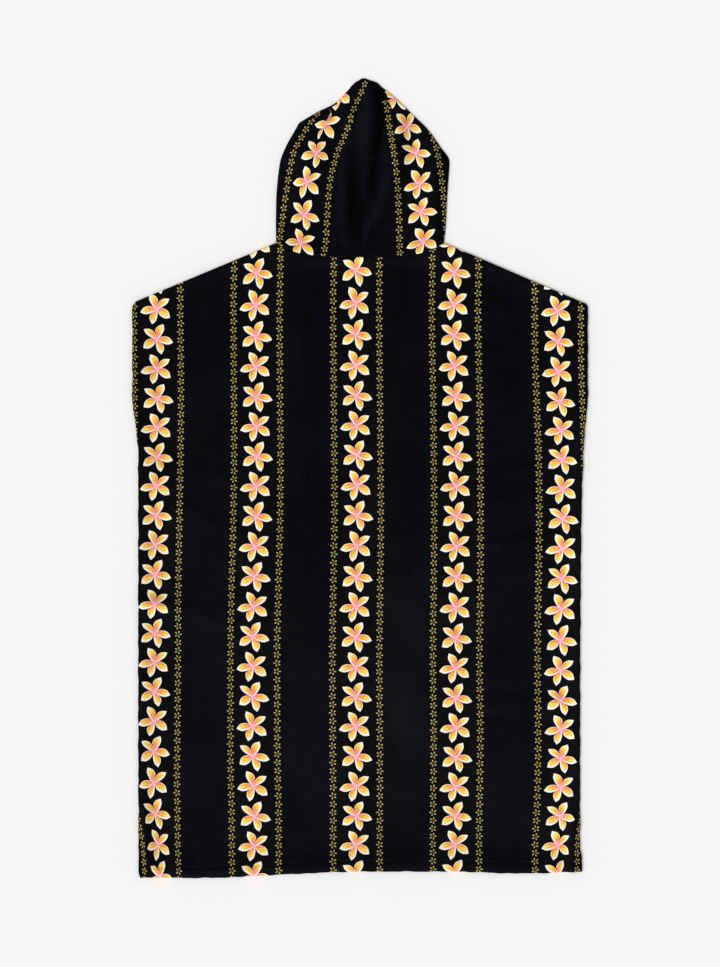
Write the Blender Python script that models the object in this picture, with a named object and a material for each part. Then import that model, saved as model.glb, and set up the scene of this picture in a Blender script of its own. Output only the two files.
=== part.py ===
"""Hooded bath poncho of cotton velour, laid flat on a surface with its back up.

Four cut pieces make it: a back, a front and the two halves of the hood. The front lies
underneath, right side down, and the back lies on it. The hood lies above the neck: each
half runs from the centre-back seam out to a fold at the side, and returns underneath to
the edge of the face opening, down to the middle of the front neckline.

Every piece is a wall of cloth, lofted between its outer and its inner face, because the
wall doubles where an edge is turned or a seam allowance is pressed flat against it.
Metres, +X to the wearer's right side, +Y from the hem to the hood, +Z up. The origin is
the middle of the outline, on the surface.
"""

import math
from collections import namedtuple

import bmesh
import bpy

MM = 0.001

# Cloth
CLOTH = 2.2 * MM  # one layer of velour, pile included
TURNED = 3.6 * MM  # a hem or a seam edge: two layers pressed together
SEAM_GAP = 0.3 * MM  # between pieces that are sewn to each other or lie on each other
HEM_WIDTH = 18 * MM  # turned edge along the bottom
EDGE_WIDTH = 12 * MM  # seam allowances, and the hems of the armholes and the hood
ROLL_WIDTH = 1.5 * MM  # an edge rounds off over this width
ROLL_DROP = 1.2 * MM  # and by this height
SETTLE = 40 * MM  # past a thick edge, the cloth settles down over this width

# Body
HALF_LENGTH = 0.660  # half of the length from the hem to the top of the hood
NECK_Y = 0.388  # where the shoulder seams meet the hood
NECK_HALF_WIDTH = 0.1385
ARM_HALF_SPAN = 0.376
LEFT_SHOULDER_FALL = 0.099  # from the neck down to the corner at the armhole
RIGHT_SHOULDER_FALL = 0.102

# Neckline, an arch that falls by depth: a higher fullness makes it squarer
Neckline = namedtuple("Neckline", "depth fullness")
BACK_NECK = Neckline(0.0235, 4.0)
FRONT_NECK = Neckline(0.095, 2.5)

# Half width of the body, by the distance below the neck: the armholes reach down to
# about 0.31, and the side seams draw the body in below them.
Side = namedtuple("Side", "below_neck left right")
SIDES = (
    Side(0.000, 0.3760, 0.3760),
    Side(0.259, 0.3760, 0.3760),
    Side(0.301, 0.3705, 0.3725),
    Side(0.350, 0.3660, 0.3695),
    Side(0.450, 0.3660, 0.3660),
    Side(0.750, 0.3660, 0.3640),
    Side(1.048, 0.3630, 0.3640),
)

# How far the hem rises above its lowest point, across the width
Hem = namedtuple("Hem", "x rise")
HEM_LINE = (
    Hem(-0.376, 0.0010),
    Hem(-0.260, 0.0000),
    Hem(-0.120, 0.0060),
    Hem(0.000, 0.0105),
    Hem(0.150, 0.0105),
    Hem(0.260, 0.0075),
    Hem(0.376, 0.0105),
)

# Hood, by the height above the neck: the side folds, the centre-back seam and the two
# edges of the face opening underneath. Above the opening its edges are sewn together.
Hood = namedtuple("Hood", "height left_fold left_face seam right_face right_fold")
HOOD = (
    Hood(0.0000, -0.1385, 0.0000, 0.0000, 0.0000, 0.1385),
    Hood(0.0280, -0.1390, -0.0180, 0.0030, 0.0160, 0.1415),
    Hood(0.0680, -0.1386, -0.0300, 0.0090, 0.0300, 0.1436),
    Hood(0.0940, -0.1370, -0.0330, 0.0125, 0.0400, 0.1452),
    Hood(0.1340, -0.1320, -0.0340, 0.0155, 0.0440, 0.1477),
    Hood(0.1600, -0.1221, -0.0330, 0.0170, 0.0450, 0.1320),
    Hood(0.1865, -0.1073, -0.0280, 0.0190, 0.0440, 0.1130),
    Hood(0.2015, -0.0957, -0.0200, 0.0205, 0.0410, 0.0980),
    Hood(0.2160, -0.0710, -0.0080, 0.0215, 0.0350, 0.0830),
    Hood(0.2310, -0.0413, 0.0100, 0.0220, 0.0270, 0.0677),
    Hood(0.2460, -0.0256, 0.0223, 0.0223, 0.0223, 0.0512),
    Hood(0.2560, -0.0173, 0.0210, 0.0210, 0.0210, 0.0380),
    Hood(0.2660, -0.0074, 0.0150, 0.0150, 0.0150, 0.0264),
    Hood(0.2720, -0.0010, 0.0070, 0.0070, 0.0070, 0.0150),
)
BACK_NECK_FADE = 0.13  # height at which the hood's back no longer follows the neckline
FRONT_NECK_FADE = 0.20  # the same for its front, underneath

# Soft ridges where the hood's back lies over the hems of the face opening
Ridge = namedtuple("Ridge", "start end half_width rise")
RIDGES = (
    Ridge((-0.046, 0.570), (-0.044, 0.400), 0.022, 1.3 * MM),
    Ridge((0.058, 0.540), (0.046, 0.430), 0.022, 1.1 * MM),
)

# Lift of the back above the plain cloth around the neck, where the hood's front edges
# and the front neckline lie under it: full inside the ellipse, none at LIFT_REACH times it
LIFT_CENTRE_Y = 0.400
LIFT_HALF_WIDTH = 0.190
LIFT_HALF_HEIGHT = 0.165
LIFT_REACH = 1.45

# Places of the lofts' lines, as shares of the way along
HOOD_SHARES = (0.22, 0.36, 0.50, 0.62, 0.74, 0.85, 0.93)
SHOULDER_SHARE = 0.45  # one more column halfway along each shoulder
BODY_SHARES = (0.15, 0.314, 0.47, 0.631, 0.70, 0.736, 0.762, 0.788, 0.81, 0.832, 0.90)
FOLD_STEPS = 5  # flats round the fold at the hood's side
LEAST_RADIUS = 0.1 * MM  # inside a fold, where its layers press together
NARROW_SHARE = 0.3  # in a narrow section, the share that a thick edge may take
FOLD_SHARE = 0.45  # and the share that the fold may take
CROWN_START = 0.240  # height above which the hood thins towards its tip

# Levels: the hood's back and every thick edge of the back lie on turned cloth
PLAIN_LEVEL = CLOTH + SEAM_GAP
RAISED_LEVEL = TURNED + SEAM_GAP

VELOUR_BLACK = (0.0045, 0.0045, 0.0055, 1.0)
VELOUR_ROUGHNESS = 0.95
VELOUR_SPECULAR = 0.05

# A line of a panel's grid: its place is a share of the way across plus an offset, it is
# turned where the wall is doubled, and lift and drop raise or lower the cloth there.
Line = namedtuple("Line", "share offset turned lift drop")
Spot = namedtuple("Spot", "x y turned lift drop")
Row = namedtuple("Row", "height turned drop")


def blend(start, end, share):
    return start + (end - start) * share


def slope_at(table, index, column):
    """The slope of a column at a row of its table: level where the column turns back."""
    slopes = [
        (getattr(high, column) - getattr(low, column)) / (high[0] - low[0])
        for low, high in zip(table, table[1:])
    ]
    before = slopes[max(index - 1, 0)]
    after = slopes[min(index, len(slopes) - 1)]
    if before * after <= 0:
        return 0
    return 2 * before * after / (before + after)


def read(table, key, column):
    """The value of a column where the table's first column is key, on a smooth curve
    through the rows that never passes beyond them."""
    index = 0
    while index < len(table) - 2 and key > table[index + 1][0]:
        index += 1
    low, high = table[index : index + 2]
    span = high[0] - low[0]
    share = min(max((key - low[0]) / span, 0), 1)
    start = slope_at(table, index, column) * span
    end = slope_at(table, index + 1, column) * span
    straight = blend(getattr(low, column), getattr(high, column), smooth(share))
    bend = start * share * (1 - share) ** 2 - end * share**2 * (1 - share)
    return straight + bend


def smooth(share):
    share = min(max(share, 0), 1)
    return share * share * (3 - 2 * share)


def neck_fall(neck, x):
    """How far the neckline lies below the ends of the shoulder seams."""
    return neck.depth * max(0, 1 - abs(x / NECK_HALF_WIDTH) ** neck.fullness)


def neck_clearance(neck, x):
    """Half of the seam gap, along Y, so that the gap square to the neckline is whole."""
    across = min(abs(x / NECK_HALF_WIDTH), 1)
    slope = neck.depth * neck.fullness * across ** (neck.fullness - 1) / NECK_HALF_WIDTH
    return SEAM_GAP / 2 * math.hypot(1, slope)


def hem_y(x):
    return -HALF_LENGTH + read(HEM_LINE, x, "rise")


def top_y(neck, x):
    """The top edge of a panel: the neckline between two straight shoulders."""
    fall = LEFT_SHOULDER_FALL if x < 0 else RIGHT_SHOULDER_FALL
    along = (abs(x) - NECK_HALF_WIDTH) / (ARM_HALF_SPAN - NECK_HALF_WIDTH)
    return NECK_Y - neck_clearance(neck, x) - neck_fall(neck, x) - fall * max(along, 0)


def neck_stations():
    """Distances from the middle at which the panels and the hood share their points."""
    reach = NECK_HALF_WIDTH - (RAISED_LEVEL + TURNED) / 2
    return [0, EDGE_WIDTH, *(reach * share for share in HOOD_SHARES), reach, NECK_HALF_WIDTH]


def edge_lines(share, inward, width):
    """The lines of a turned edge, from the edge inwards."""
    return [
        Line(share, 0, True, 1, ROLL_DROP),
        Line(share, inward * ROLL_WIDTH, True, 1, 0),
        Line(share, inward * width, True, 1, 0),
        Line(share, inward * (width + SETTLE), False, 0, 0),
    ]


def panel_columns():
    """Lines that run from the hem to the shoulders and the neck, left to right."""
    half = [*neck_stations()[1:], blend(NECK_HALF_WIDTH, ARM_HALF_SPAN, SHOULDER_SHARE)]
    places = [-x for x in reversed(half)] + [0] + half
    inner = [Line((x / ARM_HALF_SPAN + 1) / 2, 0, False, 0, 0) for x in places]
    right = edge_lines(1, -1, EDGE_WIDTH)
    return edge_lines(0, 1, EDGE_WIDTH) + inner + right[::-1]


def panel_rows():
    """Lines that run across, from the hem up."""
    inner = [Line(share, 0, False, 0, 0) for share in BODY_SHARES]
    top = edge_lines(1, -1, EDGE_WIDTH)
    return edge_lines(0, 1, HEM_WIDTH) + inner + top[::-1]


def side_x(row, side):
    """The panel's edge on a row, to the left (-1) or the right (+1)."""
    corner = side * ARM_HALF_SPAN
    y = blend(hem_y(corner), top_y(BACK_NECK, corner), row.share) + row.offset
    return side * read(SIDES, NECK_Y - y, "left" if side < 0 else "right")


def panel_spots(neck):
    """The points of a panel, row by row, seen from above."""
    spots = []
    for row in panel_rows():
        left = side_x(row, -1)
        right = side_x(row, 1)
        line = []
        for column in panel_columns():
            x = blend(left, right, column.share) + column.offset
            top_x = ARM_HALF_SPAN * (2 * column.share - 1) + column.offset
            y = blend(hem_y(x), top_y(neck, top_x), row.share) + row.offset
            turned = row.turned or column.turned
            lift = max(row.lift, column.lift)
            line.append(Spot(x, y, turned, lift, max(row.drop, column.drop)))
        spots.append(line)
    return spots


def neck_lift(x, y):
    """1 where the hood's front lies under the back panel, fading to 0 around it."""
    far = math.hypot(x / LIFT_HALF_WIDTH, (y - LIFT_CENTRE_Y) / LIFT_HALF_HEIGHT)
    return 1 - smooth((far - 1) / (LIFT_REACH - 1))


def wall(turned):
    return TURNED if turned else CLOTH


def loft_wall(name, outer, inner):
    """One closed body of cloth between two grids of points, the outer and the inner face."""
    mesh = bpy.data.meshes.new(name)
    shape = bmesh.new()
    rows = len(outer)
    columns = len(outer[0])
    faces = [[[shape.verts.new(p) for p in row] for row in grid] for grid in (outer, inner)]
    for grid in faces:
        for j in range(rows - 1):
            for i in range(columns - 1):
                corners = (grid[j][i], grid[j][i + 1], grid[j + 1][i + 1], grid[j + 1][i])
                shape.faces.new(corners)
    out, back = faces
    for j in range(rows - 1):
        for i in (0, columns - 1):
            shape.faces.new((out[j][i], out[j + 1][i], back[j + 1][i], back[j][i]))
    for i in range(columns - 1):
        for j in (0, rows - 1):
            shape.faces.new((out[j][i], out[j][i + 1], back[j][i + 1], back[j][i]))
    bmesh.ops.recalc_face_normals(shape, faces=shape.faces)
    shape.to_mesh(mesh)
    shape.free()
    return bpy.data.objects.new(name, mesh)


def velour(name):
    """Black cotton velour: a short cut pile that gives back almost no light."""
    material = bpy.data.materials.new(name)
    material.use_nodes = True
    shader = material.node_tree.nodes["Principled BSDF"]
    shader.inputs["Base Color"].default_value = VELOUR_BLACK
    shader.inputs["Roughness"].default_value = VELOUR_ROUGHNESS
    shader.inputs["Metallic"].default_value = 0.0
    shader.inputs["Specular IOR Level"].default_value = VELOUR_SPECULAR
    return material


def make_front():
    """The front, right side down on the surface."""
    spots = panel_spots(FRONT_NECK)
    outer = [[(s.x, s.y, s.drop) for s in row] for row in spots]
    inner = [[(s.x, s.y, wall(s.turned)) for s in row] for row in spots]
    return loft_wall("front_panel", outer, inner)


def make_back():
    """The back, lying on the front, and around the neck on the hood's front edges."""
    outer = []
    inner = []
    for row in panel_spots(BACK_NECK):
        lifts = [max(s.lift, neck_lift(s.x, s.y)) for s in row]
        levels = [blend(PLAIN_LEVEL, RAISED_LEVEL, lift) for lift in lifts]
        inner.append([(s.x, s.y, level) for s, level in zip(row, levels)])
        outer.append(
            [(s.x, s.y, level + wall(s.turned) - s.drop) for s, level in zip(row, levels)]
        )
    return loft_wall("back_panel", outer, inner)


def hood_rows():
    """The hood's sections, from the neck up: the first few lie in the neck's seam edge."""
    edge = [
        Row(0, True, ROLL_DROP),
        Row(ROLL_WIDTH, True, 0),
        Row(EDGE_WIDTH, True, 0),
    ]
    heights = [HOOD[1].height]
    for low, high in zip(HOOD[1:], HOOD[2:]):
        heights += [(low.height + high.height) / 2, high.height]
    return edge + [Row(height, False, 0) for height in heights]


def seam_clearance(height):
    """Half of the seam gap, along X, so that the gap square to the back seam is whole."""
    low, high = height - EDGE_WIDTH / 2, height + EDGE_WIDTH / 2
    slope = (read(HOOD, high, "seam") - read(HOOD, low, "seam")) / (high - low)
    return SEAM_GAP / 2 * math.hypot(1, slope)


def edge_wall(height):
    """A seam or hem edge of the hood, which thins to plain cloth at the tip."""
    up = (height - CROWN_START) / (HOOD[-1].height - CROWN_START)
    return blend(TURNED, CLOTH, smooth(up))


def hood_y(neck, fade, x, height):
    """A row follows its neckline at the bottom and is level at the height of fade."""
    left = max(0, 1 - height / fade)
    clearance = neck_clearance(neck, x) if height == 0 else 0
    return NECK_Y + height - neck_fall(neck, x) * left**1.5 + clearance


def ridge_rise(x, y):
    """The height of the soft ridges at a point of the hood's back."""
    rise = 0
    for ridge in RIDGES:
        (x0, y0), (x1, y1) = ridge.start, ridge.end
        length = (x1 - x0) ** 2 + (y1 - y0) ** 2
        along = min(max(((x - x0) * (x1 - x0) + (y - y0) * (y1 - y0)) / length, 0), 1)
        away = math.hypot(x - blend(x0, x1, along), y - blend(y0, y1, along))
        rise = max(rise, ridge.rise * smooth(1 - away / ridge.half_width))
    return rise


def layer_places(reach):
    """Distances from a layer's inner edge out to the start of the fold, with edge flags."""
    edge = min(EDGE_WIDTH, NARROW_SHARE * reach)
    roll = min(ROLL_WIDTH, edge / 2)
    places = [(0, True, ROLL_DROP), (roll, True, 0), (edge, True, 0)]
    first = HOOD_SHARES[0] * reach if edge < EDGE_WIDTH else edge
    for share in HOOD_SHARES:
        place = max(share * reach, blend(first, reach, share / 2))
        places.append((place, False, 0))
    return places + [(reach, False, 0)]


def hood_back(seam, start, side, row):
    """The layer that shows: from the back seam out to the start of the fold."""
    edge = edge_wall(row.height)
    for place, turned, drop in layer_places(abs(start - seam)):
        x = seam + side * place
        y = hood_y(BACK_NECK, BACK_NECK_FADE, x, row.height)
        level = edge + SEAM_GAP + ridge_rise(x, y)
        thick = edge if turned or row.turned else CLOTH
        yield (x, y, level + thick - max(drop, row.drop)), (x, y, level)


def hood_fold(start, radius, side, row):
    """Round the side fold, from the back layer down to the front layer."""
    thick = TURNED if row.turned else CLOTH
    level = edge_wall(row.height) + SEAM_GAP
    inner_radius = max(radius - thick, LEAST_RADIUS)
    for step in range(1, FOLD_STEPS):
        angle = math.pi * (0.5 - step / FOLD_STEPS)
        neck, fade = BACK_NECK, BACK_NECK_FADE
        if angle < 0:
            neck, fade = FRONT_NECK, FRONT_NECK_FADE
        up = (1 + math.sin(angle)) / 2
        x = start + side * radius * math.cos(angle)
        inner_x = start + side * inner_radius * math.cos(angle)
        y = hood_y(neck, fade, x, row.height)
        yield (x, y, (level + thick) * up), (inner_x, y, blend(thick, level, up))


def hood_front(face, start, side, row):
    """The layer underneath: from the fold in to the edge of the face opening."""
    edge = edge_wall(row.height)
    for place, turned, drop in reversed(layer_places(abs(start - face))):
        x = face + side * place
        y = hood_y(FRONT_NECK, FRONT_NECK_FADE, x, row.height)
        thick = edge if turned or row.turned else CLOTH
        yield (x, y, max(drop, row.drop)), (x, y, thick)


def hood_section(side, row):
    """One section of a hood half: pairs of an outer and an inner point."""
    word = "left" if side < 0 else "right"
    seam = read(HOOD, row.height, "seam") + side * seam_clearance(row.height)
    fold = read(HOOD, row.height, word + "_fold")
    opening = read(HOOD, row.height, word + "_face")
    face = side * max(side * opening, side * seam)
    top = edge_wall(row.height) + SEAM_GAP + (TURNED if row.turned else CLOTH)
    radius = min(top / 2, FOLD_SHARE * abs(fold - seam))
    start = fold - side * radius
    return [
        *hood_back(seam, start, side, row),
        *hood_fold(start, radius, side, row),
        *hood_front(face, start, side, row),
    ]


def make_hood_half(name, side):
    """A half of the hood, to the left (-1) or the right (+1)."""
    sections = [hood_section(side, row) for row in hood_rows()]
    outer = [[pair[0] for pair in section] for section in sections]
    inner = [[pair[1] for pair in section] for section in sections]
    return loft_wall(name, outer, inner)


def clear_scene():
    for thing in list(bpy.data.objects):
        bpy.data.objects.remove(thing)


def main():
    clear_scene()
    parts = bpy.data.collections.new("hooded_bath_poncho")
    bpy.context.scene.collection.children.link(parts)
    pieces = (
        make_front(),
        make_back(),
        make_hood_half("hood_left", -1),
        make_hood_half("hood_right", 1),
    )
    for piece in pieces:
        piece.data.materials.append(velour(piece.name + "_velour"))
        parts.objects.link(piece)


main()
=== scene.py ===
"""Hooded bath poncho of printed cotton velour, laid flat with its back up.

The cloth, its hems and seams, the printed material, the sewing thread and a plain stage,
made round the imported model. Metres, +X to the wearer's right side, +Y from the hem to the
hood, +Z up from the surface that the poncho lies on.
"""

import math
from collections import namedtuple

import bmesh
import bpy
from bpy.props import FloatProperty, FloatVectorProperty, PointerProperty
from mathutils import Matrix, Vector


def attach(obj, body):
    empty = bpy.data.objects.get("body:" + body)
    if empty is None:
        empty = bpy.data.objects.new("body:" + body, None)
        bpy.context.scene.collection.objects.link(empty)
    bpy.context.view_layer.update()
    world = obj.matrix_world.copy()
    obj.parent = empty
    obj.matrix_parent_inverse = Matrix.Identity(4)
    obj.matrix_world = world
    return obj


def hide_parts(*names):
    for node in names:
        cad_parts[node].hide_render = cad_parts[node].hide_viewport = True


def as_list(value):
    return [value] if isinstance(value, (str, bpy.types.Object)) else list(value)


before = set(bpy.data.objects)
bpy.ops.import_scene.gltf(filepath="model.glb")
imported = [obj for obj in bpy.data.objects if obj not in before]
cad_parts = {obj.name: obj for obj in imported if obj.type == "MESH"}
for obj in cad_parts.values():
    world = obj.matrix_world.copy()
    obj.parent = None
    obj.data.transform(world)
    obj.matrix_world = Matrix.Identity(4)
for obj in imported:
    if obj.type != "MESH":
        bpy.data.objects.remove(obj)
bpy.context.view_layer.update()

bl_info = {
    "name": "Hooded Bath Poncho",
    "version": (1, 0, 0),
    "blender": (4, 5, 0),
    "location": "3D Viewport > Sidebar > Poncho",
    "description": "Makes a hooded bath poncho of printed velour, laid flat with its back up",
    "category": "Object",
}

MM = 0.001

# Cloth
CLOTH = 2.2 * MM  # one layer of velour, pile included
TURNED = 3.6 * MM  # a hem or a seam edge: two layers pressed together
SEAM_GAP = 0.3 * MM  # between layers that lie on each other
REST = 0.12 * MM  # the front's pile stands this far off the surface
HEM_WIDTH = 18 * MM  # turned edge along the bottom
EDGE_WIDTH = 12 * MM  # seam allowances, and the hems of the armholes and the hood
SETTLE = 40 * MM  # past a thick edge, the cloth settles down over this width
STEP_WIDTH = 20 * MM  # the outside softens the end of an allowance over this width
HEM_ROLL = TURNED / 2  # a turned edge is a half round
HEM_DROP = 0.92 * HEM_ROLL  # and its two faces stop just short of each other
HEM_STEP = 13 * MM  # above its stitching, the end of the hem shows over this width
SEAM_ROLL = 1.6 * MM  # a sewn edge rolls into its seam
SEAM_DROP = 1.1 * MM
GROOVE_WIDTH = 2.6 * MM  # of the dip on each side of a row of stitching
ARMHOLE_GROOVE = 0.7  # an armhole's is shallower than the hem's
PLAIN_LEVEL = CLOTH + SEAM_GAP  # the back on the plain front
RAISED_LEVEL = TURNED + SEAM_GAP  # the back on a thick edge
FRONT_RISE = 0.8  # the front's creases, as a share of the back's that lie on them
FRONT_RELIEF = 0.6  # and the relief of its hems

# Body
HALF_LENGTH = 0.660  # half of the length from the hem to the top of the hood
NECK_Y = 0.388  # where the shoulder seams meet the hood
NECK_HALF_WIDTH = 0.1385
ARM_HALF_SPAN = 0.376
LEFT_SHOULDER_FALL = 0.099  # from the neck down to the corner at the armhole
RIGHT_SHOULDER_FALL = 0.102
ARMHOLE_END = 0.309  # the armholes reach this far below the neck
ARMHOLE_BLEND = 8 * MM
LEFT_CORNER_ROUND = 7 * MM  # the corners between the shoulders and the armholes
RIGHT_CORNER_ROUND = 4.5 * MM

# Neckline, an arch that falls by depth: a higher fullness makes it squarer
Neckline = namedtuple("Neckline", "depth fullness")
BACK_NECK = Neckline(0.0235, 4.0)
FRONT_NECK = Neckline(0.095, 2.5)

# Half width of the body, by the distance below the neck
Side = namedtuple("Side", "below_neck left right")
SIDES = (
    Side(0.000, 0.3760, 0.3760),
    Side(0.259, 0.3760, 0.3760),
    Side(0.301, 0.3705, 0.3717),
    Side(0.350, 0.3660, 0.3687),
    Side(0.450, 0.3660, 0.3654),
    Side(0.750, 0.3660, 0.3632),
    Side(1.000, 0.3655, 0.3632),
    Side(1.016, 0.3654, 0.3662),
    Side(1.034, 0.3652, 0.3660),
    Side(1.048, 0.3620, 0.3645),
)

# How far the hem rises above its lowest point, across the width
Hem = namedtuple("Hem", "x rise")
HEM_LINE = (
    Hem(-0.376, 0.0010),
    Hem(-0.260, 0.0000),
    Hem(-0.120, 0.0060),
    Hem(0.000, 0.0105),
    Hem(0.150, 0.0105),
    Hem(0.260, 0.0075),
    Hem(0.376, 0.0105),
)

# Hood, by the height above the neck: the side folds, the centre-back seam and the two
# edges of the face opening underneath. Above the opening its edges are sewn together.
Hood = namedtuple("Hood", "height left_fold left_face seam right_face right_fold")
HOOD = (
    Hood(0.0000, -0.1385, 0.0000, 0.0000, 0.0000, 0.1385),
    Hood(0.0280, -0.1390, -0.0180, 0.0030, 0.0160, 0.1415),
    Hood(0.0680, -0.1386, -0.0300, 0.0090, 0.0300, 0.1436),
    Hood(0.0940, -0.1370, -0.0330, 0.0125, 0.0400, 0.1452),
    Hood(0.1340, -0.1320, -0.0340, 0.0155, 0.0440, 0.1477),
    Hood(0.1600, -0.1221, -0.0330, 0.0170, 0.0450, 0.1320),
    Hood(0.1865, -0.1073, -0.0280, 0.0190, 0.0440, 0.1130),
    Hood(0.1940, -0.1033, -0.0244, 0.0198, 0.0426, 0.1060),
    Hood(0.1980, -0.1010, -0.0222, 0.0202, 0.0418, 0.1018),
    Hood(0.2015, -0.0955, -0.0200, 0.0205, 0.0410, 0.0980),
    Hood(0.2160, -0.0710, -0.0080, 0.0215, 0.0350, 0.0830),
    Hood(0.2310, -0.0413, 0.0100, 0.0220, 0.0270, 0.0677),
    Hood(0.2460, -0.0256, 0.0223, 0.0223, 0.0223, 0.0512),
    Hood(0.2560, -0.0173, 0.0210, 0.0210, 0.0210, 0.0380),
    Hood(0.2660, -0.0074, 0.0150, 0.0150, 0.0150, 0.0264),
    Hood(0.2690, -0.0020, 0.0085, 0.0085, 0.0085, 0.0170),
    Hood(0.2720, 0.0030, 0.0060, 0.0060, 0.0060, 0.0095),
)
HOOD_HEIGHT = HOOD[-1].height
FACE_TOP = 0.246  # the face opening ends at this height
FACE_BLEND = 10 * MM  # and its hems turn into a seam over this much below it
FACE_HEM_START = 4 * MM  # the printed side is turned in from here
FACE_HEM_TOP = 0.236  # to here
BACK_NECK_FADE = 0.13  # height at which the hood's back no longer follows the neckline
FRONT_NECK_FADE = 0.20  # the same for its front, underneath
NECK_FADE_POWER = 1.5
NARROW_SHARE = 0.18  # in a narrow section, the share that a thick edge may take
FOLD_SHARE = 0.45  # and the share that the fold may take
CROWN_START = 0.240  # height above which the hood thins towards its tip
TIP_START = 0.262  # height above which its layers round off into each other
TIP_HALF = 0.5 * MM  # there the outside ends this far from the middle
LEAST_RADIUS = 0.1 * MM  # inside a fold, where its layers press together
FOLD_FADE = 12 * MM  # the creases fade out towards a side fold
FACE_FADE = 20 * MM  # and, underneath, towards the face opening
NECK_SEAM_FADE = 40 * MM  # and the neck seam
UNDER_CREASES = 0.4  # underneath, the creases stand at this share of their height
UNDER_SWELL = 0.6  # and the swell at this one
UNDER_RISE = 1.1 * MM  # and together no higher than this

# Lift of the back above the plain cloth around the neck, where the hood's front edges
# and the front neckline lie under it: full inside the ellipse, none at LIFT_REACH times it
LIFT_CENTRE_Y = 0.400
LIFT_HALF_WIDTH = 0.190
LIFT_HALF_HEIGHT = 0.165
LIFT_REACH = 1.45

# Creases: soft ridges that the cloth was left with, each along a line, with the widths of
# its two flanks: towards +X and towards -X, or above and below for one that runs along X
Crease = namedtuple("Crease", "x0 y0 x1 y1 plus minus rise")
BODY_CREASES = (
    Crease(-0.372, -0.203, -0.298, -0.214, 0.017, 0.024, 2.6 * MM),  # left, below the middle
    Crease(-0.298, -0.214, -0.215, -0.240, 0.030, 0.024, 1.2 * MM),
    Crease(-0.350, -0.002, -0.236, 0.008, 0.024, 0.034, 1.2 * MM),  # left, near the middle
    Crease(-0.318, -0.035, -0.210, -0.080, 0.016, 0.026, 1.2 * MM),
    Crease(-0.352, 0.020, -0.300, 0.012, 0.012, 0.016, 1.0 * MM),
    Crease(-0.330, 0.128, -0.205, 0.146, 0.050, 0.050, 0.9 * MM),
    Crease(-0.095, 0.236, -0.098, 0.110, 0.034, 0.012, 1.1 * MM),  # down the back
    Crease(-0.098, 0.110, -0.090, -0.060, 0.050, 0.030, 1.0 * MM),
    Crease(0.130, -0.020, 0.062, -0.110, 0.034, 0.020, 1.4 * MM),
    Crease(0.062, -0.110, -0.050, -0.190, 0.040, 0.040, 1.0 * MM),
    Crease(0.180, 0.278, 0.318, 0.270, 0.030, 0.010, 1.3 * MM),  # right
    Crease(0.186, 0.012, 0.306, 0.014, 0.016, 0.010, 0.9 * MM),
    Crease(0.214, -0.040, 0.330, -0.048, 0.014, 0.016, 0.7 * MM),
    Crease(0.204, -0.108, 0.352, -0.094, 0.016, 0.028, 1.5 * MM),
    Crease(0.186, -0.380, 0.318, -0.366, 0.022, 0.034, 2.0 * MM),
    Crease(-0.357, -0.540, -0.350, -0.640, 0.014, 0.010, 1.6 * MM),  # at the hem's corners
    Crease(0.346, -0.520, 0.352, -0.640, 0.010, 0.014, 1.3 * MM),
)
HOOD_CREASES = (
    Crease(0.018, 0.645, 0.020, 0.600, 0.014, 0.020, 2.2 * MM),  # the top of the back seam
    Crease(0.020, 0.600, 0.017, 0.535, 0.020, 0.026, 2.6 * MM),
    Crease(0.017, 0.535, 0.013, 0.475, 0.012, 0.018, 1.2 * MM),
    Crease(0.062, 0.585, 0.060, 0.510, 0.020, 0.024, 2.0 * MM),  # right of it, down to it
    Crease(0.060, 0.510, 0.044, 0.462, 0.024, 0.020, 2.6 * MM),
    Crease(0.044, 0.462, 0.014, 0.404, 0.026, 0.010, 3.0 * MM),
    Crease(-0.012, 0.604, -0.025, 0.525, 0.010, 0.012, 1.3 * MM),  # left of the seam
    Crease(-0.025, 0.525, -0.027, 0.470, 0.028, 0.010, 3.0 * MM),
    Crease(-0.027, 0.470, -0.025, 0.398, 0.032, 0.012, 3.4 * MM),
    Crease(-0.092, 0.530, -0.116, 0.440, 0.026, 0.020, 1.4 * MM),
    Crease(-0.072, 0.562, -0.048, 0.604, 0.007, 0.010, 1.2 * MM),  # the tuck at a blossom
    Crease(0.128, 0.540, 0.120, 0.420, 0.016, 0.022, 1.2 * MM),
)

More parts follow.
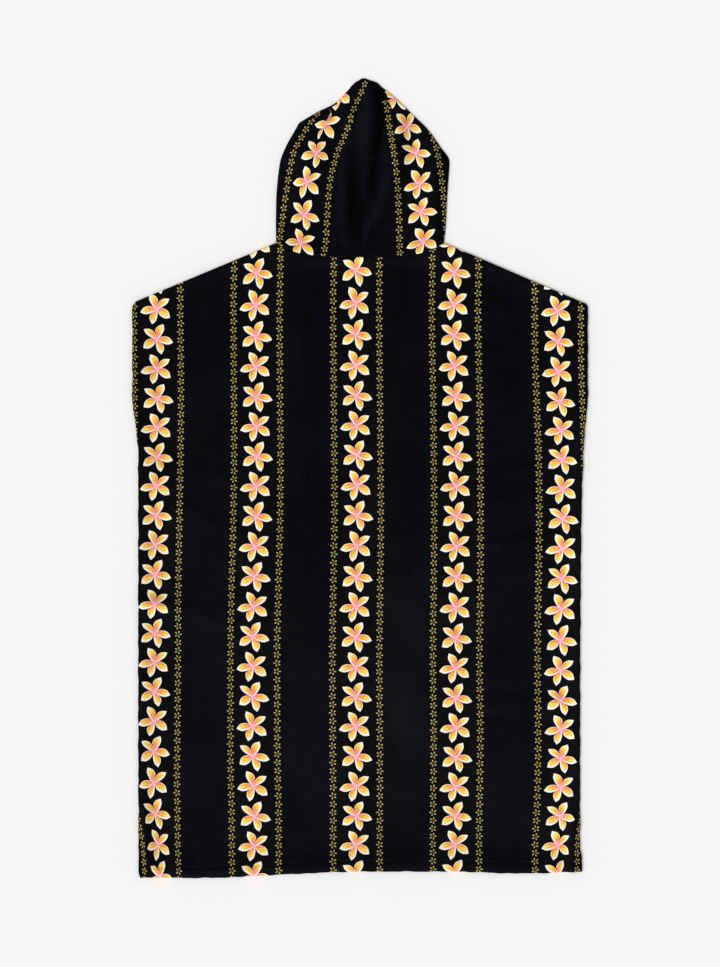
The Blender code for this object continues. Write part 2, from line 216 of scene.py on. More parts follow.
# Patches where the colour is drawn lighter, or darker: painted light and shade on the folds
# and along the seams, and in places the pile's brushed nap
Patch = namedtuple("Patch", "x y half_width half_height lighter")
LIGHT_AND_SHADE_PATCHES = (
    Patch(-0.087, -0.070, 0.060, 0.170, -0.20),
    Patch(-0.083, 0.245, 0.050, 0.085, -0.14),
    Patch(-0.083, -0.420, 0.065, 0.150, 0.12),
    Patch(0.086, -0.035, 0.050, 0.115, -0.22),
    Patch(0.082, -0.215, 0.060, 0.110, 0.24),
    Patch(0.074, -0.465, 0.065, 0.150, 0.12),
    Patch(0.074, 0.285, 0.050, 0.060, -0.12),
    Patch(0.248, 0.190, 0.085, 0.075, -0.17),
    Patch(0.248, -0.005, 0.080, 0.045, -0.20),
    Patch(0.248, -0.290, 0.090, 0.085, -0.14),
    Patch(0.240, -0.400, 0.060, 0.016, -0.25),
    Patch(0.240, -0.100, 0.090, 0.070, -0.12),
    Patch(0.080, -0.380, 0.055, 0.110, 0.26),
    Patch(0.225, -0.505, 0.060, 0.060, 0.10),
    Patch(-0.256, -0.110, 0.070, 0.060, 0.13),
    Patch(-0.262, 0.115, 0.060, 0.070, 0.10),
    Patch(-0.262, 0.215, 0.055, 0.060, -0.08),
    Patch(0.118, 0.357, 0.050, 0.018, 0.40),
    Patch(0.016, 0.590, 0.020, 0.045, 0.25),
    Patch(-0.008, 0.575, 0.022, 0.070, 0.35),
    Patch(-0.006, 0.446, 0.021, 0.062, -0.50),
    Patch(0.040, 0.510, 0.022, 0.060, 0.30),
    Patch(0.042, 0.435, 0.026, 0.060, 0.25),
    Patch(0.035, 0.600, 0.018, 0.055, -0.35),
    Patch(-0.108, 0.500, 0.030, 0.060, 0.25),
    Patch(-0.108, 0.455, 0.020, 0.025, 0.25),
    Patch(-0.098, 0.520, 0.020, 0.030, 0.25),
    Patch(0.040, 0.480, 0.012, 0.026, 0.45),
    Patch(0.024, 0.443, 0.010, 0.022, 0.60),
    Patch(0.010, 0.416, 0.009, 0.018, 0.50),
    Patch(-0.031, 0.474, 0.008, 0.036, 0.45),
    Patch(-0.034, 0.515, 0.012, 0.018, 0.40),
    Patch(0.024, 0.545, 0.011, 0.055, -0.35),
    Patch(0.017, 0.488, 0.010, 0.032, -0.35),
    Patch(-0.012, 0.611, 0.013, 0.026, -0.50),
    Patch(-0.055, 0.540, 0.018, 0.030, -0.30),
    Patch(-0.068, 0.600, 0.025, 0.014, -0.30),
    Patch(0.075, 0.545, 0.018, 0.060, -0.30),
    Patch(0.110, 0.555, 0.022, 0.026, 0.35),
    Patch(0.142, 0.530, 0.012, 0.040, -0.25),
    Patch(0.225, 0.338, 0.050, 0.016, 0.25),
    Patch(0.290, 0.310, 0.035, 0.014, 0.25),
    Patch(-0.210, 0.345, 0.045, 0.014, 0.20),
    Patch(-0.060, 0.356, 0.060, 0.010, 0.25),
    Patch(0.030, 0.357, 0.055, 0.010, 0.30),
)
PATCH_CORE = 0.3  # a patch is full in this share of its size
PATCH_FADE = 0.9  # and fades over this share

# Slow waves: their radians per metre along X and Y, or along an edge, and where they start
SWELL = 0.45 * MM  # the cloth never lies quite flat
SWELL_WAVES = ((23, 9, 1.3), (-14, 31, 0), (47, 40, 0))
EDGE_WAVE = 0.8 * MM  # and its edges are never quite straight
EDGE_WAVES = ((97, 0.6), (151, 2.2), (263, 0))

# The hem's stitching pulls it into slanting puckers, most of all in these places
Pucker = namedtuple("Pucker", "x half_width rise")
PUCKERS = (
    Pucker(-0.290, 0.045, 1.6 * MM),
    Pucker(-0.066, 0.040, 1.5 * MM),
    Pucker(0.066, 0.036, 1.5 * MM),
    Pucker(0.240, 0.050, 0.9 * MM),
)
PUCKER_SPACING = 11 * MM
PUCKER_SLANT = 0.9
PUCKER_STRAY = 2.2  # how unevenly they follow each other
LEAST_PUCKER = 0.25 * MM  # between those places
PUCKER_START = 5 * MM  # they grow over this width from the hem's edge
PUCKER_END = 3 * MM  # and fade from this far below its stitching
PUCKER_FADE = 9 * MM

# Print, in the cloth's own plane
COLUMN_SPACING = 165.7 * MM  # from one column of blossoms to the next
COLUMN_START = -7.0 * MM  # the hearts of the middle column
HEART_OFFSET = 1.2 * MM  # the hearts lie left of the middle between the two chains
BAND_MIDDLE = COLUMN_START + HEART_OFFSET  # between the middle column's chains
ROW_SPACING = 49.45 * MM
FIRST_ROW = 0.3345  # the first row of blossoms below the neck
CHAIN_OFFSET = 38.4 * MM  # from the middle out to each chain
CHAIN_SPACING = 13.74 * MM

# How far the printed cloth has shifted as it lies, by Y, from its even place. To the right:
# at the outer chain on the left, the left column, its inner chain, three columns, the inner
# chain on the right, the right column and its outer chain. Down: at the five columns.
# Millimetres.
Shift = namedtuple("Shift", "y left c0 n0 c1 c2 c3 n4 c4 right d0 d1 d2 d3 d4")
SHIFTS = (
    Shift(-0.6560, 20.4, 8.1, 0.2, -1.3, 0.3, -1.9, 1.5, 1.7, -5.9, 2.6, 1.7, 0.0, -0.8, 0.0),
    Shift(-0.6070, 17.5, 5.5, -2.5, -1.5, 0.3, -1.9, 2.0, 2.4, -6.2, 0.2, 2.2, 0.5, -0.3, 0.6),
    Shift(-0.5560, 8.4, 0.9, -2.6, -1.7, 0.5, -1.6, 4.3, 6.2, 2.4, -1.8, 3.0, 2.2, 2.2, 2.7),
    Shift(-0.5100, 2.4, -1.8, -3.6, -3.0, 0.6, -1.0, 6.0, 6.6, 4.6, -2.9, 2.1, 2.6, 3.5, 4.3),
    Shift(-0.4320, 0.0, -1.8, -2.7, -4.5, 0.1, 0.1, 7.0, 7.5, 6.6, -6.6, 2.3, 2.6, 4.4, 7.6),
    Shift(-0.3000, 0.0, -0.5, -1.7, -4.8, -0.4, -1.3, 6.0, 6.2, 6.6, -4.4, 3.0, 3.4, 5.6, 9.4),
    Shift(-0.1850, 0.0, 0.0, -1.2, -2.6, 0.8, -0.1, 7.4, 8.2, 7.6, -1.3, 3.0, 3.0, 3.7, 6.1),
    Shift(-0.0640, 2.3, 1.6, 0.8, 0.8, 2.3, 0.4, 8.7, 10.0, 8.9, 0.1, 2.3, 0.7, 2.1, 6.0),
    Shift(0.0460, 3.4, 3.2, 2.6, 1.9, 1.6, -0.3, 7.6, 9.0, 5.0, 3.3, 2.0, -0.3, 1.4, 7.4),
    Shift(0.1287, 3.6, 4.0, 3.5, 1.2, 0.8, -1.2, 4.3, 5.3, 2.6, 5.2, 2.6, 0.4, 1.8, 10.9),
    Shift(0.2110, 3.0, 3.3, 2.8, 0.8, 0.2, -2.9, 1.8, 2.1, 0.4, 6.2, 2.2, -0.4, 0.6, 9.9),
    Shift(0.2805, 2.9, 2.8, 2.2, 0.6, -0.3, -3.8, 1.3, 1.4, 0.4, 5.7, -0.1, -3.3, -1.3, 9.2),
    Shift(0.3400, 2.9, 2.6, 2.0, 2.2, 0.3, -3.0, 1.3, 1.4, 0.4, 5.5, -3.8, -9.0, -5.2, 6.0),
)
SHIFT_ROUNDS = 6  # the shift is worked back from the place on the body, a little at a time
SHIFT_OVERRUN = 0.3  # past the outer columns, of the way to the next

# The band of blossoms on each half of the hood leans with the cut. By the height above
# NECK_Y: the band's middle, the print's Y there, how far the band is squeezed, how far its
# blossoms are turned, in degrees, and, in millimetres, how far they lie right of their
# place, how much cloth is tucked away on their left and how far from the middle
Band = namedtuple("Band", "height x along squeeze turn nudge tuck start")
LEFT_BAND = (
    Band(-0.1000, -0.1040, 0.28390, 0.950, -16, 0.0, 0.0, 2),
    Band(-0.0235, -0.0985, 0.36000, 0.950, -16, 0.0, 0.0, 2),
    Band(-0.0007, -0.0958, 0.38395, 0.955, -16, -1.8, 0.0, 2),
    Band(0.0455, -0.0918, 0.43340, 0.945, -8, -0.4, 0.0, 2),
    Band(0.0999, -0.0857, 0.48285, 0.895, -9, -2.8, 0.0, 2),
    Band(0.1487, -0.0750, 0.53230, 0.905, -15, 3.0, 0.0, 2),
    Band(0.1700, -0.0660, 0.55690, 0.900, -20, 0.0, 3.0, 2),
    Band(0.1943, -0.0572, 0.58175, 0.920, -22, -2.5, 9.0, 2),
    Band(0.2095, -0.0487, 0.59600, 0.810, -20, -1.0, 9.5, 2.6),
    Band(0.2160, -0.0470, 0.60250, 0.830, -19, -0.9, 13.0, 0.5),
    Band(0.2225, -0.0465, 0.60900, 0.900, -18, -0.8, 12.0, 6.5),
    Band(0.2440, -0.0335, 0.63120, 0.820, -18, -0.8, 1.0, 10),
    Band(0.2720, -0.0190, 0.66090, 0.770, -16, 0.0, 0.0, 2),
)
RIGHT_BAND = (
    Band(-0.1000, 0.1052, 0.27990, 0.990, 8, 0.4, 0.0, 29),
    Band(-0.0235, 0.1052, 0.35630, 0.990, 10, 0.4, 0.0, 29),
    Band(0.0024, 0.1052, 0.38395, 0.990, 14, 0.6, 0.0, 29),
    Band(0.0515, 0.1032, 0.43340, 0.980, 9, -0.6, 0.0, 29),
    Band(0.0967, 0.0996, 0.48285, 0.950, 10, 0.0, 0.0, 29),
    Band(0.1480, 0.0930, 0.53230, 0.930, 8, 1.6, 0.0, 29),
    Band(0.1923, 0.0803, 0.58175, 0.880, 18, 0.0, 5.0, 29),
    Band(0.2095, 0.0735, 0.59890, 0.870, 21, 0.0, 10.0, 20),
    Band(0.2224, 0.0684, 0.61100, 0.900, 22, 0.0, 15.0, 16),
    Band(0.2330, 0.0645, 0.62270, 0.960, 23, 0.0, 18.0, 16),
    Band(0.2405, 0.0625, 0.63120, 0.960, 23, 0.0, 34.0, 16),
    Band(0.2720, 0.0490, 0.66490, 0.960, 23, 0.0, 40.0, 16),
)
NUDGE_REACH = 36 * MM
SPLIT_FROM = 0.4  # the tuck lies past this share of its layer
SPLIT_TO = 0.85  # and before this one, or this far from the layer's end
SPLIT_MARGIN = 4 * MM
SPLIT_HALF_GAP = 0.1 * MM  # from the middle of the tuck to a line on each side of it
PLAIN_SPLIT = 0.6  # where the layer underneath, with no tuck, has its split

# Grid of the cloth: lines close together at the edges, then even ones
EDGE_LINES = tuple(x * MM for x in (0, 0.15, 0.5, 1.0, 1.8, 3.0, 4.8, 7, 9.5, 12, 14.5, 17, 20))
HEM_LINES = tuple(
    x * MM for x in (0, 0.15, 0.5, 1, 1.8, 3.2, 5.5, 8, 11, 14, 16, 17.2, 18, 18.8, 20, 22, 25)
)
FIRST_LINE = 6 * MM  # from the last close line to the first even one
BODY_COLUMNS = 124
BODY_ROWS = 176
HOOD_EDGE_LINES = tuple(x * MM for x in (0, 0.15, 0.5, 1.0, 1.8, 3.0, 5.0, 7.5, 10, 12, 14.5))
TIP_LINES = tuple(x * MM for x in (3, 2.3, 1.7, 1.1, 0.6, 0.2, 0))  # below the hood's top
INNER_COLUMNS = 18  # of the hood, on each side of its split
OUTER_COLUMNS = 12
HOOD_ROWS = 84
FOLD_STEPS = 10

# Sewing
STITCH_LENGTH = 3.0 * MM
STITCH_GAP = 0.7 * MM
HEM_STITCHES = 194
HEM_STITCHES_START = 6 * MM  # from the side seam
ARM_STITCHES = 49
ARM_STITCHES_START = 14 * MM  # below the shoulder
THREAD_HALF_WIDTH = 0.25 * MM
THREAD_SIDES = 6
# A stitch's rings: the share of its length, and in half widths its size and how deep it lies
STITCH_RINGS = ((0, 0.35, 1.6), (0.25, 0.95, 0.55), (0.75, 0.95, 0.55), (1, 0.35, 1.6))

PRINTED_VELOUR = "printed_cotton_velour"
TERRY = "cotton_terry_loops"
THREAD = "polyester_sewing_thread"
FLOOR = "matt_painted_floor"

# Painted light and shade: the colour is drawn lighter where the cloth slopes towards the key
# light and darker where it slopes away, which deepens the shading of a crease: how much
# lighter a unit of slope towards the light looks, and the slope at which it ends
PAINTED_SLOPE_LIGHT = 3.2
PAINTED_SLOPE_LIMIT = 0.15

# Stage
LIGHT_FROM = (-0.56, -0.50, 1.7)  # the key light shines from the lower left
LIGHT_ANGLE = 35  # degrees that it spans, which makes its shadows soft
FLOOR_SIZE = 12
VIEW_HEIGHT = 1.596  # the camera frames this much from top to bottom
VIEW_CENTRE_Y = -9 * MM
VIEW_LEVEL = 5 * MM  # at this height above the floor
SENSOR = 36  # height of the camera's sensor, in millimetres

# A line of the grid across a panel: its share of the way, and how far from there
Line = namedtuple("Line", "share offset")
# The distances of a point from a panel's edges
Edges = namedtuple("Edges", "bottom top left right")
# A point of a shell of cloth: its outer and its inner place, the place in the print of
# each, and whether the printed side is turned in there
Knot = namedtuple("Knot", "outer inner outer_print inner_print turned")


def linear(code):
    """An sRGB hex colour as linear red, green and blue."""
    values = [int(code[i : i + 2], 16) / 255 for i in (1, 3, 5)]
    return tuple(v / 12.92 if v <= 0.04045 else ((v + 0.055) / 1.055) ** 2.4 for v in values)


# ---------------------------------------------------------------- settings


def tint(name, description, code):
    """A setting for a colour, given by its hex code."""
    return FloatVectorProperty(
        name=name, description=description, subtype="COLOR", default=linear(code)
    )


class PonchoCloth(bpy.types.PropertyGroup):
    crease_height: FloatProperty(
        name="Crease Height",
        description="How high the creases stand, as a share of their full height",
        default=1.0,
        min=0.0,
        max=1.5,
        subtype="FACTOR",
    )
    hem_puff: FloatProperty(
        name="Hem Puff",
        description="How far the hem swells between its edge and its stitching",
        default=0.6 * MM,
        unit="LENGTH",
    )
    stitch_depth: FloatProperty(
        name="Stitch Depth",
        description="How deep the stitching pulls into the pile",
        default=0.45 * MM,
        unit="LENGTH",
    )


class PonchoPrint(bpy.types.PropertyGroup):
    ground: tint("Ground", "Black of the wide stripes", "#0B0C10")
    band_ground: tint("Band Ground", "Black behind the blossoms", "#0D0D10")
    petal_edge: tint("Petal Edge", "White at the edge and the tip of a petal", "#FCF4EA")
    petal_yellow: tint("Petal Yellow", "Yellow in the middle of a petal", "#FFDC4C")
    petal_orange: tint("Petal Orange", "Orange between the yellow and the heart", "#F6A544")
    petal_coral: tint("Petal Coral", "Coral next to the heart", "#F5907E")
    petal_vein: tint("Petal Vein", "Golden brown of a petal's fine veins", "#D98E2E")
    petal_blush: tint("Petal Blush", "Pale pink of the rims next to the heart", "#FBD2DC")
    heart: tint("Heart", "Pink of a blossom's heart", "#F8B0D4")
    gold: tint("Gold", "Gold of the chains of small blossoms", "#9A883F")
    gold_light: tint("Gold Light", "Pale gold down the middle of the small petals", "#D8CC92")
    gold_shade: tint("Gold Shade", "Brown at the hearts of the small blossoms", "#402C09")


class PonchoStage(bpy.types.PropertyGroup):
    floor_colour: tint("Floor", "Colour of the floor", "#EDEDED")
    key_strength: FloatProperty(
        name="Key Light",
        description="Strength of the soft light from the lower left",
        default=2.01,
        min=0.0,
    )
    fill_strength: FloatProperty(
        name="Fill Light",
        description="Strength of the even light from all round",
        default=0.5,
        min=0.0,
    )
    lens: FloatProperty(
        name="Lens",
        description="Focal length of the camera",
        default=80.0,
        unit="CAMERA",
    )


# ---------------------------------------------------------------- measures


def blend(start, end, share):
    return start + (end - start) * share


def smooth(share):
    share = min(max(share, 0), 1)
    return share * share * (3 - 2 * share)


def slope_at(table, index, column):
    """The slope of a column at a row of its table: level where the column turns back."""
    slopes = [
        (getattr(high, column) - getattr(low, column)) / (high[0] - low[0])
        for low, high in zip(table, table[1:])
    ]
    before = slopes[max(index - 1, 0)]
    after = slopes[min(index, len(slopes) - 1)]
    if before * after <= 0:
        return 0
    return 2 * before * after / (before + after)


def read(table, key, column):
    """The value of a column where the table's first column is key, on a smooth curve
    through the rows that never passes beyond them."""
    index = 0
    while index < len(table) - 2 and key > table[index + 1][0]:
        index += 1
    low, high = table[index : index + 2]
    span = high[0] - low[0]
    share = min(max((key - low[0]) / span, 0), 1)
    start = slope_at(table, index, column) * span
    end = slope_at(table, index + 1, column) * span
    straight = blend(getattr(low, column), getattr(high, column), smooth(share))
    bend = start * share * (1 - share) ** 2 - end * share**2 * (1 - share)
    return straight + bend


def neck_fall(neck, x):
    """How far the neckline lies below the ends of the shoulder seams."""
    return neck.depth * max(0, 1 - abs(x / NECK_HALF_WIDTH) ** neck.fullness)


def edge_wave(along):
    """How an edge strays from its line, up to EDGE_WAVE to either side."""
    wave = sum(math.sin(rate * along + start) for rate, start in EDGE_WAVES)
    return EDGE_WAVE * wave / len(EDGE_WAVES)


def hem_y(x):
    return -HALF_LENGTH + read(HEM_LINE, x, "rise") + edge_wave(x)


def top_y(neck, x):
    """The top edge of a panel: the neckline between two straight shoulders."""
    fall = LEFT_SHOULDER_FALL if x < 0 else RIGHT_SHOULDER_FALL
    along = (abs(x) - NECK_HALF_WIDTH) / (ARM_HALF_SPAN - NECK_HALF_WIDTH)
    return NECK_Y - neck_fall(neck, x) - fall * max(along, 0)


def side_x(y, side):
    """The body's edge, to the left (-1) or the right (+1)."""
    return side * (read(SIDES, NECK_Y - y, "left" if side < 0 else "right") - edge_wave(y + side))


def neck_lift(x, y):
    """1 where the hood's front lies under the back, fading to 0 around it."""
    far = math.hypot(x / LIFT_HALF_WIDTH, (y - LIFT_CENTRE_Y) / LIFT_HALF_HEIGHT)
    return 1 - smooth((far - 1) / (LIFT_REACH - 1))


def crease_rise(creases, x, y):
    """The height of the creases at a point: the highest of them, or none."""
    rise = 0
    for crease in creases:
        run_x = crease.x1 - crease.x0
        run_y = crease.y1 - crease.y0
        from_x = x - crease.x0
        from_y = y - crease.y0
        along = min(max((from_x * run_x + from_y * run_y) / (run_x**2 + run_y**2), 0), 1)
        away = math.hypot(from_x - run_x * along, from_y - run_y * along)
        width = crease.plus if run_x * from_y > run_y * from_x else crease.minus
        if away < width:
            rise = max(rise, crease.rise * smooth(1 - away / width))
    return rise


def painted_patches(x, y):
    """How much lighter the colour is drawn at a point by the patches: painted light and shade,
    and in places the brushed nap.
    """
    lighter = 0
    for patch in LIGHT_AND_SHADE_PATCHES:
        far = math.hypot((x - patch.x) / patch.half_width, (y - patch.y) / patch.half_height)
        lighter += patch.lighter * (1 - smooth((far - PATCH_CORE) / PATCH_FADE))
    return lighter


def swell(x, y):
    """The slow unevenness of the cloth, from 0 up to SWELL."""
    wave = sum(math.sin(a * x + b * y + start) for a, b, start in SWELL_WAVES)
    return SWELL * (wave / len(SWELL_WAVES) + 1) / 2


def pucker_rise(x, y, edge):
    """The slanting puckers of the hem, between its edge and its stitching."""
    rise = LEAST_PUCKER
    for pucker in PUCKERS:
        rise = max(rise, pucker.rise * smooth(1 - abs(x - pucker.x) / pucker.half_width))
    across = smooth(edge / PUCKER_START)
    across *= 1 - smooth((edge - HEM_WIDTH + PUCKER_END) / PUCKER_FADE)
    turn = math.tau * (x + PUCKER_SLANT * y) / PUCKER_SPACING + PUCKER_STRAY * math.sin(61 * x)
    return rise * across * (1 + math.sin(turn)) / 2


def roll(edge, width, drop):
    """How far a rounded edge has dropped at a distance from it."""
    if edge >= width:
        return 0
    return drop * (1 - math.sqrt(1 - (1 - max(edge, 0) / width) ** 2))


def hem_roll(edge, narrow=1):
    """The same for a turned edge, which may be squeezed to a share of its width."""
    return roll(edge, HEM_ROLL * narrow, HEM_DROP * narrow)


def seam_roll(edge, narrow=1):
    """The same for a sewn edge."""
    return roll(edge, SEAM_ROLL * narrow, SEAM_DROP * narrow)


def stitch_groove(edge, seam, depth):
    """How deep the cloth is pulled down along a row of stitching."""
    away = (edge - seam) / GROOVE_WIDTH
    return depth * math.exp(-away * away)


# ---------------------------------------------------------------- body


def edges_at(neck, x, y):
    """The distances from a panel's four edges."""
    return Edges(y - hem_y(x), top_y(neck, x) - y, x - side_x(y, -1), side_x(y, 1) - x)


def sewn_share(y):
    """0 where the side is an open armhole, 1 where it is a sewn side seam."""
    return smooth((NECK_Y - y - ARMHOLE_END + ARMHOLE_BLEND / 2) / ARMHOLE_BLEND)


def turned_share(edges):
    """How much of a second layer lies on the inside: the allowance of an edge. The end
    of the hem's shows above its stitching."""
    inside = min(edges.top, edges.left, edges.right) - EDGE_WIDTH
    side = 1 - smooth((inside + STEP_WIDTH / 2) / STEP_WIDTH)
    return max(side, 1 - smooth((edges.bottom - HEM_WIDTH) / HEM_STEP))


def edge_lift(edges):
    inside = min(edges.top, edges.left, edges.right) - EDGE_WIDTH
    inside = min(inside, edges.bottom - HEM_WIDTH)
    return 1 - smooth(inside / SETTLE)


def edge_rolls(edges, y):
    """How far the outer and the inner face have turned towards each other at the rims."""
    side = min(edges.left, edges.right)
    sewn = sewn_share(y)
    hemmed = max(hem_roll(edges.bottom), hem_roll(side) * (1 - sewn))
    seamed = max(seam_roll(edges.top), seam_roll(side) * sewn)
    return max(hemmed, seamed), hemmed


def hem_relief(cloth, x, y, edges):
    """The puff and the stitching of the hems, on the outside."""
    relief = pucker_rise(x, y, edges.bottom)
    if edges.bottom < HEM_WIDTH:
        relief += cloth.hem_puff * math.sin(math.pi * edges.bottom / HEM_WIDTH)
    side = min(edges.left, edges.right)
    armhole = cloth.stitch_depth * ARMHOLE_GROOVE * (1 - sewn_share(y))
    relief -= stitch_groove(edges.bottom, HEM_WIDTH, cloth.stitch_depth)
    return relief - stitch_groove(side, EDGE_WIDTH, armhole)


def body_rise(cloth, x, y):
    return cloth.crease_height * crease_rise(BODY_CREASES, x, y) + swell(x, y)


def back_heights(cloth, x, y):
    """The levels of the back's outer and inner face."""
    edges = edges_at(BACK_NECK, x, y)
    lift = max(edge_lift(edges), neck_lift(x, y))
    level = blend(PLAIN_LEVEL, RAISED_LEVEL, lift) + body_rise(cloth, x, y)
    thick = blend(CLOTH, TURNED, turned_share(edges))
    outer_roll, inner_roll = edge_rolls(edges, y)
    relief = hem_relief(cloth, x, y, edges)
    return level + thick + relief - outer_roll, level + inner_roll


def front_heights(cloth, x, y):
    """The same for the front, whose outer face lies on the surface."""
    edges = edges_at(FRONT_NECK, x, y)
    level = FRONT_RISE * body_rise(cloth, x, y)
    thick = blend(CLOTH, TURNED, turned_share(edges))
    outer_roll, inner_roll = edge_rolls(edges, y)
    relief = FRONT_RELIEF * hem_relief(cloth, x, y, edges)
    return max(level - relief, REST) + outer_roll, level + thick - inner_roll


def panel_lines(edge, far_edge, count):
    """Lines across a panel: close ones at both edges and even ones between."""
    first = edge[-1] + FIRST_LINE
    last = far_edge[-1] + FIRST_LINE
    span = 2 * ARM_HALF_SPAN
    inner = [blend(first / span, 1 - last / span, i / (count - 1)) for i in range(count)]
    lines = [Line(0, offset) for offset in edge] + [Line(share, 0) for share in inner]
    return lines + [Line(1, -offset) for offset in reversed(far_edge)]


def rounded_corner(neck, x, y):
    """The place of a point once the corner at the armhole is rounded: its square becomes a
    quarter of a disc."""
    side, radius = (-1, LEFT_CORNER_ROUND) if x < 0 else (1, RIGHT_CORNER_ROUND)
    from_side = radius - side * (side_x(y, side) - x)
    from_top = radius - (top_y(neck, x) - y)
    if min(from_side, from_top) <= 0:
        return x, y
    cut = 1 - max(from_side, from_top) / math.hypot(from_side, from_top)
    return x - side * from_side * cut, y - from_top * cut


def shift_at(u, y):
    """How far the print has moved, to the right and down, at an even place."""
    c0, c1, c2, c3, c4 = (COLUMN_START + COLUMN_SPACING * i for i in range(-2, 3))
    near, far = HEART_OFFSET + CHAIN_OFFSET, HEART_OFFSET - CHAIN_OFFSET
    places = (c0 + far, c0, c0 + near, c1, c2, c3, c3 + near, c4 + far, c4, c4 + near)
    index = 0
    while index < len(places) - 2 and u > places[index + 1]:
        index += 1
    share = (u - places[index]) / (places[index + 1] - places[index])
    share = min(max(share, -SHIFT_OVERRUN), 1 + SHIFT_OVERRUN)
    right = ("left", "c0", "n0", "c1", "c2", "c3", "c3", "n4", "c4", "right")
    down = ("d0", "d0", "d0", "d1", "d2", "d3", "d3", "d4", "d4", "d4")
    return [
        MM * blend(read(SHIFTS, y, n[index]), read(SHIFTS, y, n[index + 1]), share)
        for n in (right, down)
    ]


def back_print(x, y):
    """The even place in the print of a point of the back."""
    u, v = x, y
    for _ in range(SHIFT_ROUNDS):
        right, down = shift_at(u, y)
        u, v = x - right, y + down
    return u, v


def front_print(x, y):
    """The front was cut from the same print, which runs straight on it."""
    return x, y


def over_edge(edges, u, v, depth):
    """The print runs on over the nearest edge: its place at a depth past it."""
    nearest = min(edges)
    if nearest == edges.bottom:
        return u, v - depth
    if nearest == edges.top:
        return u, v + depth
    return (u - depth, v) if nearest == edges.left else (u + depth, v)


def make_panel(name, neck, heights, place):
    """A body panel: a closed shell of cloth with its hems and seam edges."""
    columns = panel_lines(EDGE_LINES, EDGE_LINES, BODY_COLUMNS)
    cloth = bpy.context.scene.poncho_cloth
    corner = ARM_HALF_SPAN
    grid = []
    for row in panel_lines(HEM_LINES, EDGE_LINES, BODY_ROWS):
        ends = []
        for side in (-1, 1):
            y = blend(hem_y(side * corner), top_y(neck, side * corner), row.share) + row.offset
            ends.append(side_x(y, side))
        knots = []
        for column in columns:
            x = blend(*ends, column.share) + column.offset
            top_x = corner * (2 * column.share - 1) + column.offset
            y = blend(hem_y(x), top_y(neck, top_x), row.share) + row.offset
            high, low = heights(cloth, x, y)
            edges = edges_at(neck, x, y)
            drop = edge_rolls(edges, y)[0]
            armhole = sewn_share(y) < 0.5 and min(edges.left, edges.right) < EDGE_WIDTH
            turned = edges.bottom < HEM_WIDTH or armhole
            through = high + drop - low + (2 * min(edges) if turned else 0)
            x, y = rounded_corner(neck, x, y)
            places = [over_edge(edges, *place(x, y), depth) for depth in (drop, through)]
            knots.append(Knot((x, y, high), (x, y, low), *places, turned))
        grid.append(knots)
    make_shell(name, grid)


def make_shell(name, grid):
    """A closed shell between the outer and the inner points of a grid of knots. The inner
    face is terry, but for the hems, where the printed side is turned in."""
    rows, columns = len(grid), len(grid[0])
    count = rows * columns
    knots = [knot for line in grid for knot in line]
    points = [knot.outer for knot in knots] + [knot.inner for knot in knots]
    places = [knot.outer_print for knot in knots] + [knot.inner_print for knot in knots]
    faces, slots = [], []
    for j in range(rows - 1):
        for i in range(columns - 1):
            a = j * columns + i
            corners = (a, a + 1, a + columns + 1, a + columns)
            faces += [corners, tuple(c + count for c in reversed(corners))]
            slots += [0, 0 if grid[j][i].turned and grid[j + 1][i + 1].turned else 1]
    border = list(range(columns))
    border += [j * columns + columns - 1 for j in range(1, rows)]
    border += [(rows - 1) * columns + i for i in range(columns - 2, -1, -1)]
    border += [j * columns for j in range(rows - 2, 0, -1)]
    faces += [(a, a + count, b + count, b) for a, b in zip(border, border[1:] + border[:1])]
    slots += [0] * len(border)
    mesh = bpy.data.meshes.new(name)
    mesh.from_pydata(points, [], faces)
    mesh.polygons.foreach_set("material_index", slots)
    mesh.polygons.foreach_set("use_smooth", [True] * len(faces))
    layer = mesh.uv_layers.new(name="print")
    layer.data.foreach_set("uv", [x for loop in mesh.loops for x in places[loop.vertex_index]])
    shape = bmesh.new()
    shape.from_mesh(mesh)
    add_piece(mesh, shape, velour(), terry())
    paint_light_and_shade(mesh)


def add_piece(mesh, shape, *materials):
    """Finish a mesh from its shape, with its faces pointing outwards, and add its piece."""
    bmesh.ops.recalc_face_normals(shape, faces=shape.faces)
    shape.to_mesh(mesh)
    shape.free()
    for material in materials:
        mesh.materials.append(material)
    piece = bpy.data.objects.new(mesh.name, mesh)
    bpy.context.scene.collection.objects.link(piece)
    return piece


def paint_light_and_shade(mesh):
    """Store how light the cloth is drawn at each point: painted light and shade by its slope
    towards the key light, and the patches of painted light and shade and of brushed pile.
    """
    towards = Vector(LIGHT_FROM[:2]).normalized()
    light = []
    for vertex in mesh.vertices:
        slope = vertex.normal.x * towards.x + vertex.normal.y * towards.y
        # painted light and shade: lighter on slopes towards the key light, darker on slopes away
        painted_light = PAINTED_SLOPE_LIGHT * min(max(slope, -PAINTED_SLOPE_LIMIT), PAINTED_SLOPE_LIMIT)
        light.append(1 + painted_light + painted_patches(vertex.co.x, vertex.co.y))
    mesh.attributes.new("nap", "FLOAT", "POINT").data.foreach_set("value", light)


# ---------------------------------------------------------------- hood


def edge_wall(height):
    """A seam or hem edge of the hood, which thins to plain cloth at the tip."""
    up = (height - CROWN_START) / (HOOD_HEIGHT - CROWN_START)
    return blend(TURNED, CLOTH, smooth(up))


def hood_y(neck, fade, x, height):
    """A row follows its neckline at the bottom and is level at the height of fade."""
    return NECK_Y + height - neck_fall(neck, x) * max(0, 1 - height / fade) ** NECK_FADE_POWER


def hood_heights():
    """The heights of the hood's sections, close together at the neck seam and the tip."""
    tip = [HOOD_HEIGHT - line for line in TIP_LINES]
    even = [blend(HOOD_EDGE_LINES[-1], tip[0], i / HOOD_ROWS) for i in range(1, HOOD_ROWS)]
    return [*HOOD_EDGE_LINES, *even, *tip]


def narrowing(reach):
    """How far the edges of a layer are squeezed where it is narrow."""
    return min(1, NARROW_SHARE * reach / EDGE_WIDTH)


